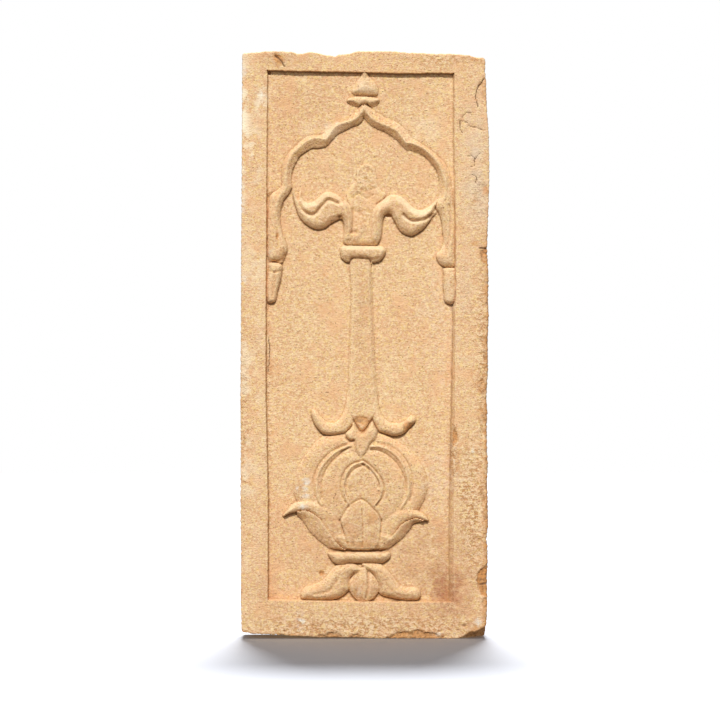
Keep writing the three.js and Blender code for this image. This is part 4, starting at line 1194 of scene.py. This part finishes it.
# %% Sandstone: its colours
BUFF, RUDDY, TAN = (0.83, 0.58, 0.33, 1), (0.81, 0.52, 0.29, 1), (0.66, 0.355, 0.15, 1)
DEEP, PALE = (0.57, 0.285, 0.12, 1), (0.97, 0.755, 0.46, 1)
YELLOW, PINK, BLUSH = (0.90, 0.63, 0.25, 1), (0.80, 0.46, 0.27, 1), (0.84, 0.48, 0.25, 1)
ORANGE, BROWN = (0.66, 0.30, 0.10, 1), (0.27, 0.13, 0.055, 1)
# The second colour here is a painted shade for faces that look down.
WARM_CAST, UNDERSIDE_SHADE = (0.62, 0.46, 0.42, 1), (0.93, 0.78, 0.62, 1)
PIT_BROWN, PIT_RIM, TOOL_MARK = (0.56, 0.25, 0.085, 1), (0.97, 0.80, 0.55, 1), (0.68, 0.36, 0.13, 1)
# The first colour here is a painted light for the upward faces of some ledges.
TOP_LIGHT, CREAM_WHITE = (1.0, 0.83, 0.56, 1), (1.0, 0.86, 0.62, 1)
# The first two colours here are painted shade for the hollows; the third is the dirt in the cracks.
HOLLOW_SHADE, DEEP_HOLLOW_SHADE, CRACK_DIRT = (0.50, 0.255, 0.10, 1), (0.20, 0.088, 0.036, 1), (0.16, 0.08, 0.04, 1)
LIME_WASH, GREY_FILM = (0.90, 0.85, 0.74, 1), (0.78, 0.63, 0.47, 1)

# %% Sandstone: patches, grains and bedding
patches = noise(11, 3)
mottle = noise(85, 3, roughness=0.6)
grain = noise(370, 3, stretch=(0.85, 1, 1.1), roughness=0.75)
streaks = noise(360, 2, stretch=(0.4, 1, 1.1))
tint = noise(210, 2)
blush = noise(30, 2)
colour = blend(ramp(patches, 0.38, 0.62), BUFF, RUDDY)
colour = blend(ramp(mottle, 0.5, 0.74, 0, 0.6), colour, TAN)
colour = blend(ramp(mottle, 0.46, 0.28, 0, 0.5), colour, PALE)
colour = blend(ramp(grain, 0.5, 0.66, 0, 0.86), colour, DEEP)
colour = blend(ramp(grain, 0.49, 0.36, 0, 0.85), colour, PALE)
colour = blend(ramp(streaks, 0.54, 0.70, 0, 0.5), colour, DEEP)
colour = blend(ramp(tint, 0.52, 0.64, 0, 0.55), colour, YELLOW)
colour = blend(ramp(tint, 0.48, 0.36, 0, 0.55), colour, PINK)
colour = blend(ramp(blush, 0.53, 0.68, 0, 0.6), colour, BLUSH)
colour = blend(attribute("warm"), colour, WARM_CAST, "MULTIPLY")

# %% [markdown]
# The small marks. Pits are brown holes with bright grains round them, and lie close together where the stone
# is pitted. The carving bears the faint marks of the chisel. Iron makes orange flecks and a few dark specks.

# %% Sandstone: pits, tool marks, flecks and specks
holes = noise(175, 3, stretch=(0.8, 1, 1.15), roughness=0.8)
pits = maths("MULTIPLY", attribute("pitted"), ramp(holes, 0.53, 0.585))
shine = maths("MULTIPLY", attribute("pitted"), ramp(holes, 0.47, 0.40, 0, 0.55))
marks = noise(170, 3, stretch=(1.4, 1, 0.7), roughness=0.7)
tooled = maths("MULTIPLY", attribute("carved"), ramp(marks, 0.50, 0.60))
flecks = noise(230, 2, roughness=0.65)
specks = noise(400, 0, stretch=(0.9, 1, 1))
colour = blend(shine, colour, PIT_RIM)
colour = blend(pits, colour, PIT_BROWN)
colour = blend(maths("MULTIPLY", tooled, 0.16), colour, TOOL_MARK)
colour = blend(ramp(flecks, 0.63, 0.70, 0, 0.6), colour, ORANGE)
colour = blend(ramp(specks, 0.74, 0.80, 0, 0.75), colour, BROWN)

# %% [markdown]
# Painted shade and light. Faces that look down get a painted shade and the upward faces of some ledges a
# painted light. The hollows get painted shade, first a thin brown and then, in the deepest, a dark one, and
# what stands proud is painted a little paler, as rubbed wear and as a painted highlight.

# %% Sandstone: undersides, ledges and hollows
hollows = attribute("hollow")
# Painted shade on the faces that look down.
colour = blend(maths("MULTIPLY", attribute("under"), 0.75), colour, UNDERSIDE_SHADE, "MULTIPLY")
# Painted light on the upward faces of some ledges.
colour = blend(maths("MULTIPLY", attribute("upper"), 0.6), colour, TOP_LIGHT)
# Painted shade in the hollows, a thin brown and, in the deepest, a dark one.
colour = blend(ramp(hollows, 0.10, 0.5, 0, 0.5), colour, HOLLOW_SHADE)
colour = blend(ramp(hollows, 0.35, 0.95, 0, 0.65), colour, DEEP_HOLLOW_SHADE)
# Painted highlight and wear: what stands proud is a little paler.
colour = blend(ramp(hollows, -0.10, -0.75, 0, 0.28), colour, PALE)

# %% Sandstone: rust, cream, lime, haze and cracks
rusty = maths("MULTIPLY", attribute("rust"), ramp(noise(110, 3), 0.34, 0.50, 0.6, 1))
creamy = maths("MULTIPLY", attribute("cream"), ramp(noise(38, 4, roughness=0.6), 0.45, 0.55))
washed = maths("MULTIPLY", attribute("lime"), ramp(noise(120, 4, roughness=0.65), 0.42, 0.60))
colour = blend(rusty, colour, blend(ramp(noise(170, 3), 0.46, 0.72), ORANGE, BROWN))
colour = blend(creamy, colour, CREAM_WHITE)
colour = blend(washed, colour, LIME_WASH)
colour = blend(attribute("haze"), colour, GREY_FILM)
colour = blend(ramp(attribute("dirt"), 0.2, 0.9, 0, 0.85), colour, CRACK_DIRT)
tree.links.new(colour, shader.inputs["Base Color"])
print("nodes of the colour", len(tree.nodes))

# %% [markdown]
# The feel of the surface. Grains too small for the mesh catch the light as a bump, and so do the holes of the
# pits and the tool marks. Everything larger is in the mesh itself.

# %% Sandstone: the feel of the surface
relief = maths("ADD", maths("MULTIPLY", grain, -1.0), maths("MULTIPLY", streaks, -0.6))
relief = maths("ADD", relief, maths("MULTIPLY", noise(800, 2), -0.5))
relief = maths("ADD", relief, maths("MULTIPLY", pits, -0.7))
relief = maths("ADD", relief, maths("MULTIPLY", tooled, -0.3))
bump = tree.nodes.new("ShaderNodeBump")
bump.inputs["Strength"].default_value = 0.9
bump.inputs["Distance"].default_value = 0.0012
tree.links.new(relief, bump.inputs["Height"])
tree.links.new(bump.outputs["Normal"], shader.inputs["Normal"])
stone.data.materials.append(sandstone)
print("nodes in the sandstone", len(tree.nodes))

# %% [markdown]
# The studio. A sheet of pale paper is the floor. One lamp high in front, a little to the left, rakes down
# over the face, and lights the stone alone. A wide lamp high behind throws the slab's soft shadow forwards on
# the floor. The room adds a weak fill, and what lies behind everything is plain white. The floor throws no
# colour back on the stone.

# %% Floor
bpy.ops.object.select_all(action="DESELECT")
bpy.ops.mesh.primitive_plane_add(size=12, location=(0, 0, low.z))
floor = bpy.context.object
floor.name = "floor"
floor.visible_diffuse = False
paper = bpy.data.materials.new("paper")
paper.use_nodes = True
sheet = paper.node_tree.nodes["Principled BSDF"]
sheet.inputs["Base Color"].default_value = (0.76, 0.825, 0.96, 1)
sheet.inputs["Roughness"].default_value = 1.0
sheet.inputs["Specular IOR Level"].default_value = 0.0
floor.data.materials.append(paper)


# %% Lamps
def lamp(name, towards, softness, strength):
    """A far lamp that shines along a direction."""
    data = bpy.data.lights.new(name, "SUN")
    data.angle = math.radians(softness)
    data.energy = strength
    made = bpy.data.objects.new(name, data)
    bpy.context.scene.collection.objects.link(made)
    made.rotation_euler = Vector(towards).to_track_quat("-Z", "Y").to_euler()
    return made


key = lamp("key lamp", (0.11, 0.71, -0.70), 7, 3.75)
key.data.color = (0.97, 0.99, 1.0)
lit_by_key = bpy.data.collections.new("lit by the key lamp")
lit_by_key.objects.link(stone)
key.light_linking.receiver_collection = lit_by_key
back = lamp("back lamp", (-0.005, -0.47, -0.88), 16, 4.7)
back.data.color = (1.0, 0.955, 0.885)
print("lamps", key.data.energy, back.data.energy)

# %% World
world = bpy.data.worlds.new("studio")
world.use_nodes = True
nodes, links = world.node_tree.nodes, world.node_tree.links
fill = nodes["Background"]
fill.inputs["Color"].default_value = (1.0, 0.95, 0.90, 1)
fill.inputs["Strength"].default_value = 0.29
white = nodes.new("ShaderNodeBackground")
white.inputs["Color"].default_value = (1, 1, 1, 1)
white.inputs["Strength"].default_value = 1.0
seen = nodes.new("ShaderNodeLightPath")
either = nodes.new("ShaderNodeMixShader")
links.new(seen.outputs["Is Camera Ray"], either.inputs["Fac"])
links.new(fill.outputs["Background"], either.inputs[1])
links.new(white.outputs["Background"], either.inputs[2])
links.new(either.outputs["Shader"], nodes["World Output"].inputs["Surface"])
bpy.context.scene.world = world
bpy.context.scene.view_settings.view_transform = "Standard"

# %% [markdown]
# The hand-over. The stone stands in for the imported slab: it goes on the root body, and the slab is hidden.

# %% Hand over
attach(stone, "root")
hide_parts("stone_panel")
